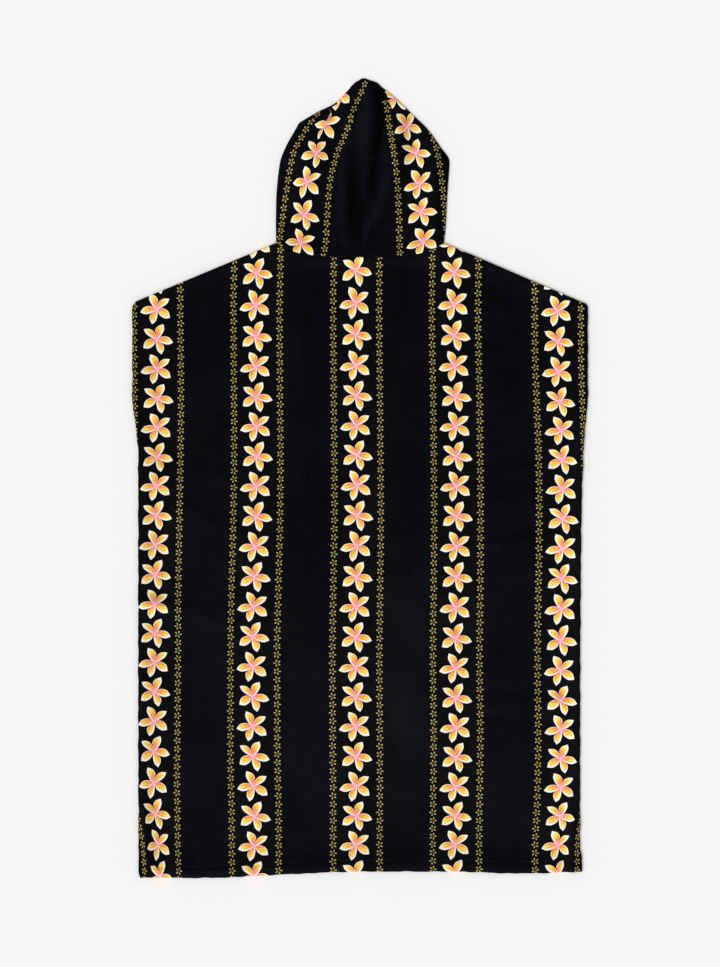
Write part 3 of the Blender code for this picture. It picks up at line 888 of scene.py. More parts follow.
def layer_places(reach, split):
    """Distances from a layer's inner edge out to the start of the fold, with two lines
    close together where it is split."""
    edge = [line * narrowing(reach) for line in HOOD_EDGE_LINES]
    split = min(max(split, SPLIT_FROM * reach), max(SPLIT_TO * reach, reach - SPLIT_MARGIN))
    near, far = split - SPLIT_HALF_GAP, split + SPLIT_HALF_GAP
    inner = [blend(edge[-1], near, i / INNER_COLUMNS) for i in range(1, INNER_COLUMNS + 1)]
    outer = [blend(far, reach, i / OUTER_COLUMNS) for i in range(OUTER_COLUMNS + 1)]
    return [*edge, *inner, *outer]


def hood_wall(place, reach, height):
    """The thickness of a layer: the allowances of its edge and of the neck seam."""
    step = STEP_WIDTH * narrowing(reach)
    inside = min(place - EDGE_WIDTH * narrowing(reach), height - EDGE_WIDTH)
    return blend(edge_wall(height), CLOTH, smooth((inside + step / 2) / step))


def tip_close(height):
    """How far the layers have come together towards the tip."""
    up = (height - TIP_START) / (HOOD_HEIGHT - TIP_START)
    return 1 - math.sqrt(max(1 - max(up, 0) ** 2, 0))


def hood_back(cloth, seam, start, side, height):
    """The layer that shows: from the back seam out to the start of the fold. Pairs of an
    outer and an inner point."""
    reach = abs(start - seam)
    for place in layer_places(reach, tuck_place(side, height)):
        x = seam + side * place
        y = hood_y(BACK_NECK, BACK_NECK_FADE, x, height)
        rise = cloth.crease_height * crease_rise(HOOD_CREASES, x, y) + swell(x, y)
        level = edge_wall(height) + SEAM_GAP + rise * smooth((reach - place) / FOLD_FADE)
        drop = max(seam_roll(place, narrowing(reach)), seam_roll(height))
        thick = hood_wall(place, reach, height)
        yield (x, y, level + thick - drop), (x, y, level)


def hood_fold(start, radius, side, height):
    """Round the side fold, from the back layer down to the front layer."""
    thick = hood_wall(1, 1, height)
    level = edge_wall(height) + SEAM_GAP
    inner_radius = max(radius - thick, LEAST_RADIUS)
    drop = seam_roll(height)
    for step in range(1, FOLD_STEPS):
        angle = math.pi * (0.5 - step / FOLD_STEPS)
        under = (FRONT_NECK, FRONT_NECK_FADE) if angle < 0 else (BACK_NECK, BACK_NECK_FADE)
        up = (1 + math.sin(angle)) / 2
        x = start + side * (radius - drop / 2) * math.cos(angle)
        inner_x = start + side * inner_radius * math.cos(angle)
        y = hood_y(*under, x, height)
        high = (level + thick) * up + drop * (1 - 2 * up)
        yield (x, y, high), (inner_x, y, blend(thick, level, up))


def hood_front(cloth, face, start, side, height):
    """The layer underneath: from the fold in to the edge of the face opening."""
    reach = abs(start - face)
    open_edge = smooth((FACE_TOP - height) / FACE_BLEND)
    for place in reversed(layer_places(reach, PLAIN_SPLIT * reach)):
        x = face + side * place
        y = hood_y(FRONT_NECK, FRONT_NECK_FADE, x, height)
        rise = cloth.crease_height * crease_rise(HOOD_CREASES, x, y) * UNDER_CREASES
        rise = min(rise + UNDER_SWELL * swell(x, y), UNDER_RISE)
        rise *= smooth((reach - place) / FOLD_FADE) * smooth(place / FACE_FADE)
        rise *= smooth(height / NECK_SEAM_FADE)
        hem = hem_roll(place, narrowing(reach)) * open_edge
        seam = seam_roll(place, narrowing(reach)) * (1 - open_edge)
        drop = max(hem, seam, seam_roll(height))
        thick = hood_wall(place, reach, height)
        yield (x, y, rise + drop), (x, y, rise + thick - hem)


def tuck_place(side, height):
    """How far along the layer from the back seam the tuck lies."""
    band = LEFT_BAND if side < 0 else RIGHT_BAND
    turn = math.radians(read(band, height, "turn"))
    away = MM * read(band, height, "start") * read(band, height, "squeeze") / math.cos(turn)
    return side * (read(band, height, "x") - away - read(HOOD, height, "seam"))


def band_print(side, x, y, tucked):
    """The place in the print of a point of the unfolded hood, measured square to its
    leaning band and along it, past the tuck or before it."""
    band = LEFT_BAND if side < 0 else RIGHT_BAND
    height = y - NECK_Y
    turn = math.radians(read(band, height, "turn"))
    off = x - read(band, height, "x")
    across = off * math.cos(turn) / read(band, height, "squeeze")
    if tucked:
        across -= MM * read(band, height, "tuck")
    across -= MM * read(band, height, "nudge") * (1 - smooth(abs(across) / NUDGE_REACH))
    return BAND_MIDDLE + across, read(band, height, "along") - off * math.sin(turn)


def hood_section(cloth, side, height):
    """One section of a hood half, from the back seam round the fold to the face opening."""
    word = "left" if side < 0 else "right"
    seam = read(HOOD, height, "seam")
    fold = read(HOOD, height, word + "_fold")
    opening = read(HOOD, height, word + "_face")
    face = side * max(side * opening, side * seam)
    top = edge_wall(height) + SEAM_GAP + hood_wall(1, 1, height)
    radius = min(top / 2, FOLD_SHARE * abs(fold - seam))
    start = fold - side * radius
    pairs = [
        *hood_back(cloth, seam, start, side, height),
        *hood_fold(start, radius, side, height),
        *hood_front(cloth, face, start, side, height),
    ]
    close = tip_close(height)
    middle = top / 2
    closed = []
    for (*outer, high), (*inner, low) in pairs:
        up = TIP_HALF if high > middle else -TIP_HALF
        high = blend(high, middle + up, close)
        low = blend(low, middle + up / 5, close)
        closed.append(((*outer, high), (*inner, low)))
    return closed


def make_hood_half(name, side):
    """A half of the hood, to the left (-1) or the right (+1)."""
    cloth = bpy.context.scene.poncho_cloth
    first_tucked = len(HOOD_EDGE_LINES) + INNER_COLUMNS
    grid = []
    for height in hood_heights():
        section = hood_section(cloth, side, height)
        run = [0.0]
        for (here, _), (there, _) in zip(section, section[1:]):
            run.append(run[-1] + math.hypot(there[0] - here[0], there[2] - here[2]))
        knots = []
        for index, ((outer, inner), along) in enumerate(zip(section, run)):
            x = section[0][0][0] + side * along
            tucked = (index >= first_tucked) == (side < 0)
            left = run[-1] - along
            turned = left < EDGE_WIDTH and FACE_HEM_START < height < FACE_HEM_TOP
            back = side * (edge_wall(height) + 2 * left) if turned else 0
            places = [band_print(side, across, outer[1], tucked) for across in (x, x + back)]
            knots.append(Knot(outer, inner, *places, turned))
        grid.append(knots)
    make_shell(name, grid)


# ---------------------------------------------------------------- thread


def stitch_rows(cloth, heights):
    """The rows of stitching of a panel, along the hem and both armholes: the ends of the
    stitches, on its cloth."""
    step = STITCH_LENGTH + STITCH_GAP
    left = side_x(-HALF_LENGTH, -1) + HEM_STITCHES_START
    top = NECK_Y - LEFT_SHOULDER_FALL - ARM_STITCHES_START
    hem = [left + step * i for i in range(HEM_STITCHES + 1)]
    arm = [top - step * i for i in range(ARM_STITCHES + 1)]
    rows = [[(x, hem_y(x) + HEM_WIDTH) for x in hem]]
    rows += [[(side_x(y, side) - side * EDGE_WIDTH, y) for y in arm] for side in (-1, 1)]
    return [[Vector((x, y, heights(cloth, x, y)[0])) for x, y in row] for row in rows]


def add_stitch(shape, start, end, up):
    """One stitch: a short bowed thread that dips into the cloth at both ends."""
    along = (end - start).normalized()
    across = along.cross(Vector((0, 0, up)))
    rings = []
    for share, size, sink in STITCH_RINGS:
        centre = start.lerp(end, share) - Vector((0, 0, up)) * THREAD_HALF_WIDTH * sink
        reach = THREAD_HALF_WIDTH * size
        ring = []
        for turn in range(THREAD_SIDES):
            angle = turn * math.tau / THREAD_SIDES
            rise = Vector((0, 0, math.sin(angle) * reach))
            ring.append(shape.verts.new(centre + across * math.cos(angle) * reach + rise))
        rings.append(ring)
    for ring, after in zip(rings, rings[1:]):
        for i in range(THREAD_SIDES):
            shape.faces.new((ring[i], ring[i - 1], after[i - 1], after[i]))
    shape.faces.new(rings[0])
    shape.faces.new(reversed(rings[-1]))


def make_stitching(name, heights, up):
    shape = bmesh.new()
    trim = STITCH_GAP / (STITCH_LENGTH + STITCH_GAP) / 2
    for row in stitch_rows(bpy.context.scene.poncho_cloth, heights):
        for start, end in zip(row, row[1:]):
            add_stitch(shape, start.lerp(end, trim), start.lerp(end, 1 - trim), up)
    for face in shape.faces:
        face.smooth = True
    return add_piece(bpy.data.meshes.new(name), shape, thread())


# ---------------------------------------------------------------- materials


def add(tree, kind, values=(), **settings):
    """Add a node with its settings. Each value goes to an input, in order or by name: a
    socket is linked, and anything else is set. Returns the node's first output."""
    node = tree.nodes.new(kind)
    for name, value in settings.items():
        setattr(node, name, value)
    if isinstance(values, dict):
        pairs = [(node.inputs[name], value) for name, value in values.items()]
    else:
        pairs = zip([s for s in node.inputs if s.enabled], values)
    for socket, value in pairs:
        if isinstance(value, bpy.types.NodeSocket):
            tree.links.new(value, socket)
        elif value is not None:
            socket.default_value = value
    return next((s for s in node.outputs if s.enabled), None)


def new_material(name):
    """An empty node material, its tree and the place on the piece, in metres."""
    material = bpy.data.materials.new(name)
    material.use_nodes = True
    tree = material.node_tree
    tree.nodes.clear()
    return material, tree, add(tree, "ShaderNodeTexCoord").node.outputs["Object"]


def set_ramp(socket, stops, interpolation="LINEAR"):
    ramp = socket.node.color_ramp
    ramp.interpolation = interpolation
    while len(ramp.elements) < len(stops):
        ramp.elements.new(1)
    for element, (place, colour) in zip(ramp.elements, stops):
        element.position = place
        element.color = (*colour, 1) if len(colour) == 3 else colour


def set_curve(socket, points):
    mapping = socket.node.mapping
    curve = mapping.curves[0]
    while len(curve.points) < len(points):
        curve.points.new(0.5, 0.5)
    for point, place in zip(curve.points, points):
        point.location = place
    mapping.update()


MATHS = "ShaderNodeMath"
VECTORS = "ShaderNodeVectorMath"
JOIN = "ShaderNodeCombineXYZ"
RANGE = "ShaderNodeMapRange"
RAMP = "ShaderNodeValToRGB"
CURVE = "ShaderNodeFloatCurve"
MIX = "ShaderNodeMix"
NOISE = "ShaderNodeTexNoise"
BUMP = "ShaderNodeBump"
PRINCIPLED = "ShaderNodeBsdfPrincipled"
OUTPUT = "ShaderNodeOutputMaterial"

# How the five petals of a blossom lie: the turn from an even star in degrees, how far its
# middle line bows to one side, its half width and its length, in millimetres
Petal = namedtuple("Petal", "turn bow half_width length")
PETALS = (
    Petal(0.0, 1.9, 6.8, 26.7),
    Petal(6.0, -1.5, 5.6, 26.9),
    Petal(5.0, -0.8, 7.1, 26.9),
    Petal(5.5, 1.4, 6.3, 26.5),
    Petal(-5.5, 1.0, 6.5, 27.8),
)
PETAL_SPAN = Petal(20, 10, 10, 30)  # a ramp holds the petals, so each column is scaled by this
FIRST_PETAL = math.radians(29)  # where the first petal's sector begins
SECTOR = math.tau / len(PETALS)
CELL_TOP = 24.2  # a blossom reaches this far above its heart, and the rest below
# The half width of a petal along its length, and of a small one of the chains
PETAL_OUTLINE = (
    *((0, 0.15), (0.1, 0.42), (0.18, 0.64), (0.32, 0.87), (0.54, 1.0)),
    *((0.70, 0.92), (0.82, 0.66), (0.92, 0.32), (1, 0)),
)
SMALL_OUTLINE = ((0, 0), (0.25, 0.55), (0.6, 1.0), (0.85, 0.75), (1, 0))
WHITE_TIP = 5.3  # of a petal, in millimetres


def blossom_place(tree, x, y, spacing, top, first):
    """The distance and the angle from the heart of a blossom, in a column of blossoms of
    which every other one is mirrored. The first is as drawn (1) or mirrored (-1), and each
    reaches as far above its heart as top."""
    place = add(tree, MATHS, (y, spacing + top, top - spacing), operation="WRAP")
    odd = add(tree, MATHS, (place, top), operation="GREATER_THAN")
    y = add(tree, MATHS, (odd, -spacing, place), operation="MULTIPLY_ADD")
    mirror = add(tree, MATHS, (odd, -2 * first, first), operation="MULTIPLY_ADD")
    x = add(tree, MATHS, (x, mirror), operation="MULTIPLY")
    spot = add(tree, JOIN, (x, y))
    radius = add(tree, VECTORS, (spot,), operation="LENGTH").node.outputs["Value"]
    return radius, add(tree, MATHS, (y, x), operation="ARCTAN2")


def petal_place(tree, radius, angle):
    """The distances along a petal and across it, by the angle from its middle line."""
    along = add(tree, MATHS, (angle,), operation="COSINE")
    across = add(tree, MATHS, (angle,), operation="SINE")
    return [add(tree, MATHS, (part, radius), operation="MULTIPLY") for part in (along, across)]


def frangipani(tree, u, v, look):
    """Blossoms of five petals in rows, every other one mirrored. Each petal has a white
    edge on one side and a pointed tip, and turns from yellow through orange and coral to
    the pink heart. Returns the ink's colour and where it lies. Millimetres."""
    x = add(tree, MATHS, (u, HEART_OFFSET / MM), operation="ADD")
    y = add(tree, MATHS, (v, FIRST_ROW / MM), operation="SUBTRACT")
    radius, angle = blossom_place(tree, x, y, ROW_SPACING / MM, CELL_TOP, 1)
    angle = add(tree, MATHS, (angle, FIRST_PETAL + math.tau, FIRST_PETAL), operation="WRAP")
    sector = add(tree, MATHS, (angle, FIRST_PETAL), operation="SUBTRACT")
    sector = add(tree, MATHS, (sector, SECTOR), operation="DIVIDE")
    number = add(tree, MATHS, (sector,), operation="FLOOR")
    count = len(PETALS)
    table = add(tree, MATHS, (number, 1 / count, 0.5 / count), operation="MULTIPLY_ADD")
    table = add(tree, RAMP, (table,))
    stops = []
    for index, petal in enumerate(PETALS):
        turn, bow, half, length = [value / span for value, span in zip(petal, PETAL_SPAN)]
        stops.append((index / count, (0.5 + turn, 0.5 + bow, half, length)))
    set_ramp(table, stops, "CONSTANT")
    turn, bow, half = add(tree, "ShaderNodeSeparateColor", (table,)).node.outputs
    span = math.radians(PETAL_SPAN.turn)
    turn = add(tree, MATHS, (turn, -span, span / 2), operation="MULTIPLY_ADD")
    span = PETAL_SPAN.bow
    bow = add(tree, MATHS, (bow, span, -span / 2), operation="MULTIPLY_ADD")
    length = table.node.outputs["Alpha"]
    length = add(tree, MATHS, (length, PETAL_SPAN.length), operation="MULTIPLY")
    # The angle from the middle of the sector, less the petal's turn
    angle = add(tree, MATHS, (sector, number), operation="SUBTRACT")
    angle = add(tree, MATHS, (angle, SECTOR, -SECTOR / 2), operation="MULTIPLY_ADD")
    angle = add(tree, MATHS, (angle, turn), operation="ADD")
    along, across = petal_place(tree, radius, angle)
    share = add(tree, MATHS, (along, length), operation="DIVIDE", use_clamp=True)
    bend = add(tree, MATHS, (share, math.pi), operation="MULTIPLY")
    bend = add(tree, MATHS, (bend,), operation="SINE")
    bend = add(tree, MATHS, (bend, bow), operation="MULTIPLY")
    across = add(tree, MATHS, (across, bend), operation="SUBTRACT")
    outline = add(tree, CURVE, (1.0, share))
    set_curve(outline, PETAL_OUTLINE)
    half = add(tree, MATHS, (outline, half), operation="MULTIPLY")
    half = add(tree, MATHS, (half, PETAL_SPAN.half_width), operation="MULTIPLY")
    away = add(tree, MATHS, (across,), operation="ABSOLUTE")
    room = add(tree, MATHS, (half, away), operation="SUBTRACT")
    mask = add(tree, RANGE, (room, 0.0, 0.5, 0.0, 1.0))  # the print's edge is 0.5 mm soft
    half = add(tree, MATHS, (half, 0.05), operation="MAXIMUM")
    edge = add(tree, MATHS, (across, half), operation="DIVIDE")
    side = add(tree, MATHS, (bow,), operation="SIGN")
    edge = add(tree, MATHS, (edge, side), operation="MULTIPLY")
    edge = add(tree, MATHS, (edge, -1), operation="MULTIPLY")  # 1 at the white edge
    # Blotches of 2.4 mm, drawn out to streaks along each petal
    slow = add(tree, MATHS, (along, 0.35), operation="MULTIPLY")
    drawn = add(tree, JOIN, (across, slow, number))
    streak = add(tree, NOISE, {"Scale": 0.42, "Detail": 2.0, "Vector": drawn})
    away = add(tree, RANGE, (edge, 0.25, -0.9, 0.0, -0.24))
    run = add(tree, MATHS, (share, away), operation="ADD")
    grain = add(tree, MATHS, (streak, 1.1, -0.55), operation="MULTIPLY_ADD")
    run = add(tree, MATHS, (run, grain), operation="ADD")
    fill = add(tree, RAMP, (run,))
    set_ramp(
        fill,
        [
            (0.13, look.petal_coral),
            (0.30, look.petal_orange),
            (0.43, Vector(look.petal_orange).lerp(Vector(look.petal_yellow), 0.5)),
            (0.54, look.petal_yellow),
            (0.80, Vector(look.petal_yellow).lerp(Vector(look.petal_edge), 0.3)),
        ],
    )
    # Darker veins, 0.9 mm apart
    vein = add(tree, NOISE, {"Scale": 1.1, "Detail": 1.0, "Vector": drawn})
    vein = add(tree, RANGE, (vein, 0.50, 0.68, 0.0, 0.55))
    fill = add(tree, MIX, (vein, fill, (*look.petal_vein, 1)), data_type="RGBA")
    # The white rim is broad on one side and thin on the other, and widens to the tip
    rim = add(tree, RANGE, (edge, -0.35, 0.55, 0.7, 2.4), interpolation_type="SMOOTHSTEP")
    wider = add(tree, RANGE, (share, 0.1, 0.9, 0.9, 1.35))
    rim = add(tree, MATHS, (rim, wider), operation="MULTIPLY")
    depth = add(tree, MATHS, (room, rim), operation="SUBTRACT")
    tip = add(tree, MATHS, (length, along), operation="SUBTRACT")
    tip = add(tree, MATHS, (tip, WHITE_TIP), operation="SUBTRACT")
    depth = add(tree, MATHS, (depth, tip), operation="MINIMUM")
    white = add(tree, RANGE, (depth, 0.7, -0.3, 0.0, 1.0), interpolation_type="SMOOTHSTEP")
    base = add(tree, RANGE, (share, 0.55, 0.2, 0.0, 0.75))
    paper = add(tree, MIX, (base, (*look.petal_edge, 1), (*look.petal_blush, 1)), data_type="RGBA")
    ink = add(tree, MIX, (white, fill, paper), data_type="RGBA")
    # The heart is full to 1.2 mm and fades to 4.5 mm
    core = add(tree, RANGE, (radius, 4.5, 1.2, 0.0, 1.0), interpolation_type="SMOOTHSTEP")
    ink = add(tree, MIX, (core, ink, (*look.heart, 1)), data_type="RGBA")
    return ink, mask


def gold_chain(tree, u, v, look):
    """Two chains of small five-petalled blossoms, which point to the right and to the left
    in turn, one on each side of a band. Returns the ink's colour and where it lies."""
    spacing = CHAIN_SPACING / MM
    side = add(tree, MATHS, (u,), operation="SIGN")
    x = add(tree, MATHS, (side, -CHAIN_OFFSET / MM, u), operation="MULTIPLY_ADD")
    radius, angle = blossom_place(tree, x, v, spacing, spacing / 2, -1)
    angle = add(tree, MATHS, (angle, SECTOR / 2, -SECTOR / 2), operation="WRAP")
    along, across = petal_place(tree, radius, angle)
    across = add(tree, MATHS, (across,), operation="ABSOLUTE")
    # A petal runs from 0.6 to 6 mm from its heart and is 2.8 mm wide
    share = add(tree, RANGE, (along, 0.6, 6.0, 0.0, 1.0))
    outline = add(tree, CURVE, (1.0, share))
    set_curve(outline, SMALL_OUTLINE)
    room = add(tree, MATHS, (outline, 1.4), operation="MULTIPLY")
    room = add(tree, MATHS, (room, across), operation="SUBTRACT")
    petal = add(tree, RANGE, (room, 0.0, 0.35, 0.0, 1.0))
    core = add(tree, RANGE, (radius, 1.7, 0.9, 0.0, 1.0))
    mask = add(tree, MATHS, (petal, core), operation="MAXIMUM")
    shade = add(tree, RANGE, (along, 1.3, 4.6, 0.0, 1.0))
    ink = add(tree, MIX, (shade, (*look.gold_shade, 1), (*look.gold, 1)), data_type="RGBA")
    # A pale streak down the middle of each petal
    streak = add(tree, RANGE, (across, 1.0, 0.2, 0.0, 0.68))
    streak = add(tree, MATHS, (streak, shade), operation="MULTIPLY")
    ink = add(tree, MIX, (streak, ink, (*look.gold_light, 1)), data_type="RGBA")
    return ink, mask


# The nap of the black pile: broad and soft patches, and its tufts, which are 0.6 mm in the
# real pile and drawn as fine as they show. The sizes are in metres, and the weight says how
# much lighter or darker each makes it.
Nap = namedtuple("Nap", "size detail roughness weight")
NAP = (Nap(0.09, 2.0, 0.5, 0.8), Nap(0.02, 3.0, 0.65, 0.8), Nap(0.0024, 2.0, 0.6, 2.0))


def velour():
    """Printed cotton velour: the loops are sheared to an upright pile, which swallows
    light, so the black is deep and matt, with a faint nap where the pile was brushed, and
    painted light and shade on its slopes and in patches. The dye sits in the pile, and its
    colours are strong but never shine."""
    if PRINTED_VELOUR in bpy.data.materials:
        return bpy.data.materials[PRINTED_VELOUR]
    look = bpy.context.scene.poncho_print
    material, tree, body = new_material(PRINTED_VELOUR)
    place = add(tree, "ShaderNodeUVMap", uv_map="print")
    place = add(tree, VECTORS, {"Vector": place, "Scale": 1 / MM}, operation="SCALE")
    u, v, _ = add(tree, "ShaderNodeSeparateXYZ", (place,)).node.outputs
    u = add(tree, MATHS, (u, BAND_MIDDLE / MM), operation="SUBTRACT")
    half = COLUMN_SPACING / MM / 2
    u = add(tree, MATHS, (u, half, -half), operation="WRAP")

    nap = 1 - sum(layer.weight for layer in NAP) / 2
    for size, detail, roughness, weight in NAP:
        noise = {"Scale": 1 / size, "Detail": detail, "Roughness": roughness, "Vector": body}
        tufts = add(tree, NOISE, noise)
        nap = add(tree, MATHS, (tufts, weight, nap), operation="MULTIPLY_ADD")
    # Painted light and shade, stored on the mesh: lighter on slopes towards the key light, and in
    # patches
    painted_shading_and_nap = add(tree, "ShaderNodeAttribute", attribute_name="nap").node.outputs["Fac"]
    nap = add(tree, MATHS, (nap, painted_shading_and_nap), operation="MULTIPLY")
    # The colour is drawn lighter towards the hem
    height = add(tree, "ShaderNodeSeparateXYZ", (body,)).node.outputs["Y"]
    low = add(tree, RANGE, (height, 0.25, -0.30, 0.72, 1.06))
    nap = add(tree, MATHS, (nap, low), operation="MULTIPLY")

    # The ground behind a band of blossoms and its chains has its own black
    away = add(tree, MATHS, (u,), operation="ABSOLUTE")
    band = add(tree, RANGE, (away, 45.0, 42.0, 0.0, 1.0))
    black = add(tree, MIX, (band, (*look.ground, 1), (*look.band_ground, 1)), data_type="RGBA")
    black = add(tree, VECTORS, {"Vector": black, "Scale": nap}, operation="SCALE")
    gold, gold_mask = gold_chain(tree, u, v, look)
    ink, ink_mask = frangipani(tree, u, v, look)
    # The dye takes up the tufts as a faint mottling
    mottle_and_painted_shade = add(tree, RANGE, (tufts, 0.3, 0.7, 0.88, 1.01))
    # The painted light and shade of the mesh falls on the inks too, at half strength
    shadow = add(tree, MATHS, (painted_shading_and_nap, 0.5, 0.5), operation="MULTIPLY_ADD")
    mottle_and_painted_shade = add(tree, MATHS, (mottle_and_painted_shade, shadow), operation="MULTIPLY")
    gold = add(tree, VECTORS, {"Vector": gold, "Scale": mottle_and_painted_shade}, operation="SCALE")
    ink = add(tree, VECTORS, {"Vector": ink, "Scale": mottle_and_painted_shade}, operation="SCALE")
    colour = add(tree, MIX, (gold_mask, black, gold), data_type="RGBA")
    colour = add(tree, MIX, (ink_mask, colour, ink), data_type="RGBA")

    rough = add(tree, RANGE, (tufts, 0.3, 0.7, 0.98, 0.88))
    bump = add(tree, BUMP, {"Strength": 0.5, "Distance": 0.5 * MM, "Height": tufts})
    shader = add(
        tree,
        PRINCIPLED,
        {
            "Base Color": colour,
            "Roughness": rough,
            "Normal": bump,
            "IOR": 1.45,
            "Specular IOR Level": 0.03,
            "Sheen Weight": 0.02,
            "Sheen Roughness": 0.4,
        },
    )
    add(tree, OUTPUT, (shader,))
    return material


def terry():
    """Terry: the uncut loops of the inside, dyed black through, a pebbled matt surface."""
    if TERRY in bpy.data.materials:
        return bpy.data.materials[TERRY]
    material, tree, body = new_material(TERRY)
    # Loops 2.2 mm apart
    loops = add(tree, "ShaderNodeTexVoronoi", {"Scale": 1 / 0.0022, "Vector": body})
    # Painted shade: darker between the loops than on their tops
    shade = add(tree, RAMP, (loops,))
    set_ramp(shade, [(0.0, linear("#191A1D")), (0.7, linear("#0B0B0D"))])
    rough = add(tree, RANGE, (loops, 0.0, 0.7, 0.85, 1.0))
    height = add(tree, MATHS, (1.0, loops), operation="SUBTRACT")
    bump = add(tree, BUMP, {"Strength": 0.9, "Distance": 1.0 * MM, "Height": height})
    shader = add(
        tree,
        PRINCIPLED,
        {
            "Base Color": shade,
            "Roughness": rough,
            "Normal": bump,
            "IOR": 1.45,
            "Specular IOR Level": 0.05,
        },
    )
    add(tree, OUTPUT, (shader,))
    return material


def thread():
    """Spun polyester thread, black: a low silky gleam on each stitch, twisted at 0.8 mm."""
    if THREAD in bpy.data.materials:
        return bpy.data.materials[THREAD]
    material, tree, body = new_material(THREAD)
    twist = {"Scale": 0.3 / 0.0008, "Distortion": 1.0, "Vector": body}
    twist = add(tree, "ShaderNodeTexWave", twist)
    # Painted light and shade of the twist: lighter bands along its strands, darker between them
    shade = add(tree, RAMP, (twist,))
    set_ramp(shade, [(0.0, linear("#0C0C0E")), (1.0, linear("#17171A"))])
    rough = add(tree, RANGE, (twist, 0.0, 1.0, 0.85, 0.7))
    bump = add(tree, BUMP, {"Strength": 0.4, "Distance": 0.1 * MM, "Height": twist})
    shader = add(
        tree,
        PRINCIPLED,
        {"Base Color": shade, "Roughness": rough, "Normal": bump, "Specular IOR Level": 0.12},
    )
    add(tree, OUTPUT, (shader,))
    return material


def floor_paint():
    """Matt paint on a smooth board: pale, even and without gloss."""
    stage = bpy.context.scene.poncho_stage
    material, tree, body = new_material(FLOOR)
    # The roller leaves a texture of 4 mm, which is only just there
    stipple = add(tree, NOISE, {"Scale": 1 / 0.004, "Detail": 1.0, "Vector": body})
    bump = add(tree, BUMP, {"Strength": 0.03, "Distance": 0.2 * MM, "Height": stipple})
    shader = add(
        tree,
        PRINCIPLED,
        {
            "Base Color": (*stage.floor_colour, 1),
            "Roughness": 0.95,
            "Specular IOR Level": 0.1,
            "Normal": bump,
        },
    )
    add(tree, OUTPUT, (shader,))
    return material


# ---------------------------------------------------------------- operators


# The cut of each piece of cloth: its width and length, and the area that shows
Cut = namedtuple("Cut", "piece node flat area held stitching")
CUTS = (
    Cut("back_cloth", "back_panel", (0.776, 1.085), 0.743, "laid", ["back_stitching"]),
    Cut("front_cloth", "front_panel", (0.776, 1.085), 0.729, "laid", ["front_stitching"]),
    Cut("hood_left_cloth", "hood_left", (0.275, 0.380), 0.0684, "folded", ()),
    Cut("hood_right_cloth", "hood_right", (0.275, 0.380), 0.0621, "folded", ()),
)


class PONCHO_OT_back(bpy.types.Operator):
    """Make the back: the panel that shows, with its hems and creases"""

    bl_idname = "poncho.make_back"
    bl_label = "Make Back"

    def execute(self, context):
        make_panel("back_cloth", BACK_NECK, back_heights, back_print)
        return {"FINISHED"}


class PONCHO_OT_front(bpy.types.Operator):
    """Make the front: the panel underneath, right side down"""

    bl_idname = "poncho.make_front"
    bl_label = "Make Front"

    def execute(self, context):
        make_panel("front_cloth", FRONT_NECK, front_heights, front_print)
        return {"FINISHED"}


class PONCHO_OT_hood(bpy.types.Operator):
    """Make the two halves of the hood, laid flat above the neck"""

    bl_idname = "poncho.make_hood"
    bl_label = "Make Hood"

    def execute(self, context):
        for name, side in (("hood_left_cloth", -1), ("hood_right_cloth", 1)):
            make_hood_half(name, side)
        return {"FINISHED"}


class PONCHO_OT_stitching(bpy.types.Operator):
    """Sew the hems: rows of stitches on the back and the front"""

    bl_idname = "poncho.make_stitching"
    bl_label = "Make Stitching"

    def execute(self, context):
        for name, heights, up in (
            ("back_stitching", back_heights, 1),
            ("front_stitching", front_heights, -1),
        ):
            piece = make_stitching(name, heights, up)
            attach(piece, "root")
        return {"FINISHED"}


class PONCHO_OT_declare(bpy.types.Operator):
    """Attach each piece of cloth to the root and hide the part of the frame it stands for"""

    bl_idname = "poncho.declare_cloth"
    bl_label = "Declare Cloth"

    def execute(self, context):
        for name, node, flat, area, held, stitching in CUTS:
            piece = bpy.data.objects[name]
            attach(piece, "root")
            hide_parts(node)
            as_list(stitching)
        return {"FINISHED"}


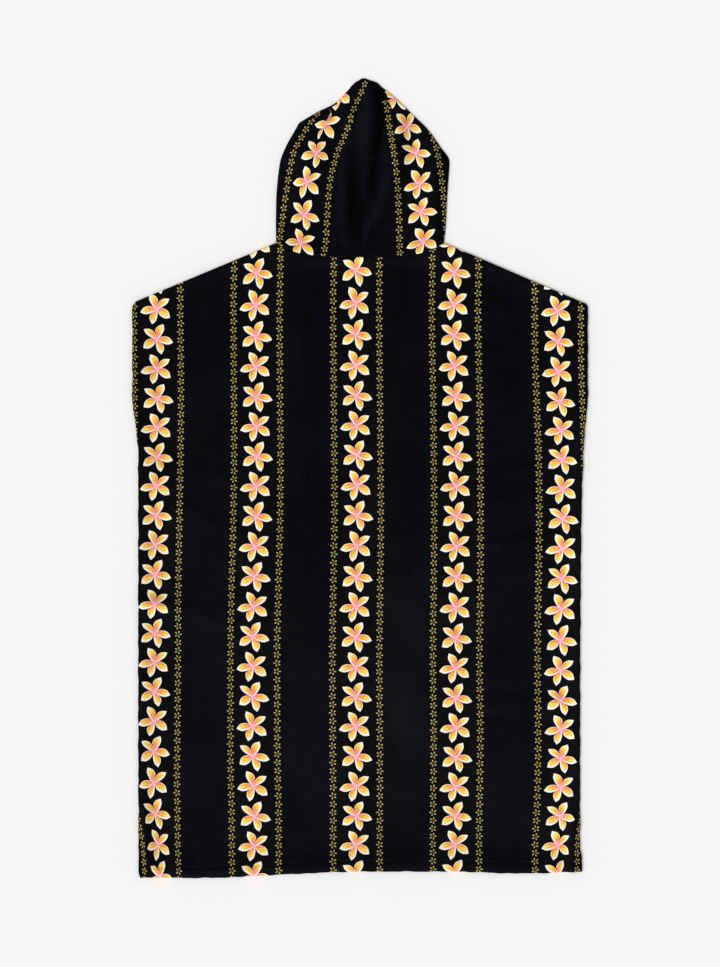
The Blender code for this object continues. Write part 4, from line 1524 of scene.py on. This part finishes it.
class PONCHO_OT_stage(bpy.types.Operator):
    """Set the stage: a pale floor, soft light and a camera straight above"""

    bl_idname = "poncho.set_stage"
    bl_label = "Set Stage"

    def execute(self, context):
        scene = context.scene
        stage = scene.poncho_stage
        bpy.ops.object.select_all(action="DESELECT")
        bpy.ops.mesh.primitive_plane_add(size=FLOOR_SIZE, location=(0, 0, 0))
        floor = context.object
        floor.name = "floor"
        floor.data.name = "floor"
        floor.data.materials.append(floor_paint())

        world = bpy.data.worlds.new("soft_fill")
        world.use_nodes = True
        world.node_tree.nodes.clear()
        sky = add(world.node_tree, "ShaderNodeBackground", ((1, 1, 1, 1), stage.fill_strength))
        add(world.node_tree, "ShaderNodeOutputWorld", (sky,))
        scene.world = world

        light = bpy.data.lights.new("key", "SUN")
        light.energy = stage.key_strength
        light.angle = math.radians(LIGHT_ANGLE)
        key = bpy.data.objects.new("key", light)
        key.rotation_euler = Vector(LIGHT_FROM).to_track_quat("Z", "Y").to_euler()
        scene.collection.objects.link(key)

        camera = bpy.data.cameras.new("camera")
        camera.sensor_fit = "VERTICAL"
        camera.sensor_height = SENSOR
        camera.lens = stage.lens
        eye = bpy.data.objects.new("camera", camera)
        eye.location = (0, VIEW_CENTRE_Y, VIEW_HEIGHT * stage.lens / SENSOR + VIEW_LEVEL)
        scene.collection.objects.link(eye)
        scene.camera = eye
        scene.view_settings.view_transform = "Standard"
        return {"FINISHED"}


class PONCHO_PT_panel(bpy.types.Panel):
    """The poncho's settings and the pieces to make"""

    bl_idname = "PONCHO_PT_panel"
    bl_label = "Hooded Bath Poncho"
    bl_space_type = "VIEW_3D"
    bl_region_type = "UI"
    bl_category = "Poncho"

    def draw(self, context):
        scene = context.scene
        for settings in (scene.poncho_cloth, scene.poncho_print, scene.poncho_stage):
            box = self.layout.box()
            for name in settings.__annotations__:
                box.prop(settings, name)
        for operator in STEPS:
            self.layout.operator(operator.bl_idname)


SETTINGS = {"poncho_cloth": PonchoCloth, "poncho_print": PonchoPrint, "poncho_stage": PonchoStage}
STEPS = (
    PONCHO_OT_stage,
    PONCHO_OT_back,
    PONCHO_OT_front,
    PONCHO_OT_hood,
    PONCHO_OT_stitching,
    PONCHO_OT_declare,
)


def register():
    for part in (*SETTINGS.values(), *STEPS, PONCHO_PT_panel):
        bpy.utils.register_class(part)
    for name, kind in SETTINGS.items():
        setattr(bpy.types.Scene, name, PointerProperty(type=kind))


def unregister():
    for name in SETTINGS:
        delattr(bpy.types.Scene, name)
    for part in reversed((*SETTINGS.values(), *STEPS, PONCHO_PT_panel)):
        bpy.utils.unregister_class(part)


def main():
    register()
    for step in STEPS:
        group, name = step.bl_idname.split(".")
        getattr(getattr(bpy.ops, group), name)()


if __name__ == "__main__":
    main()
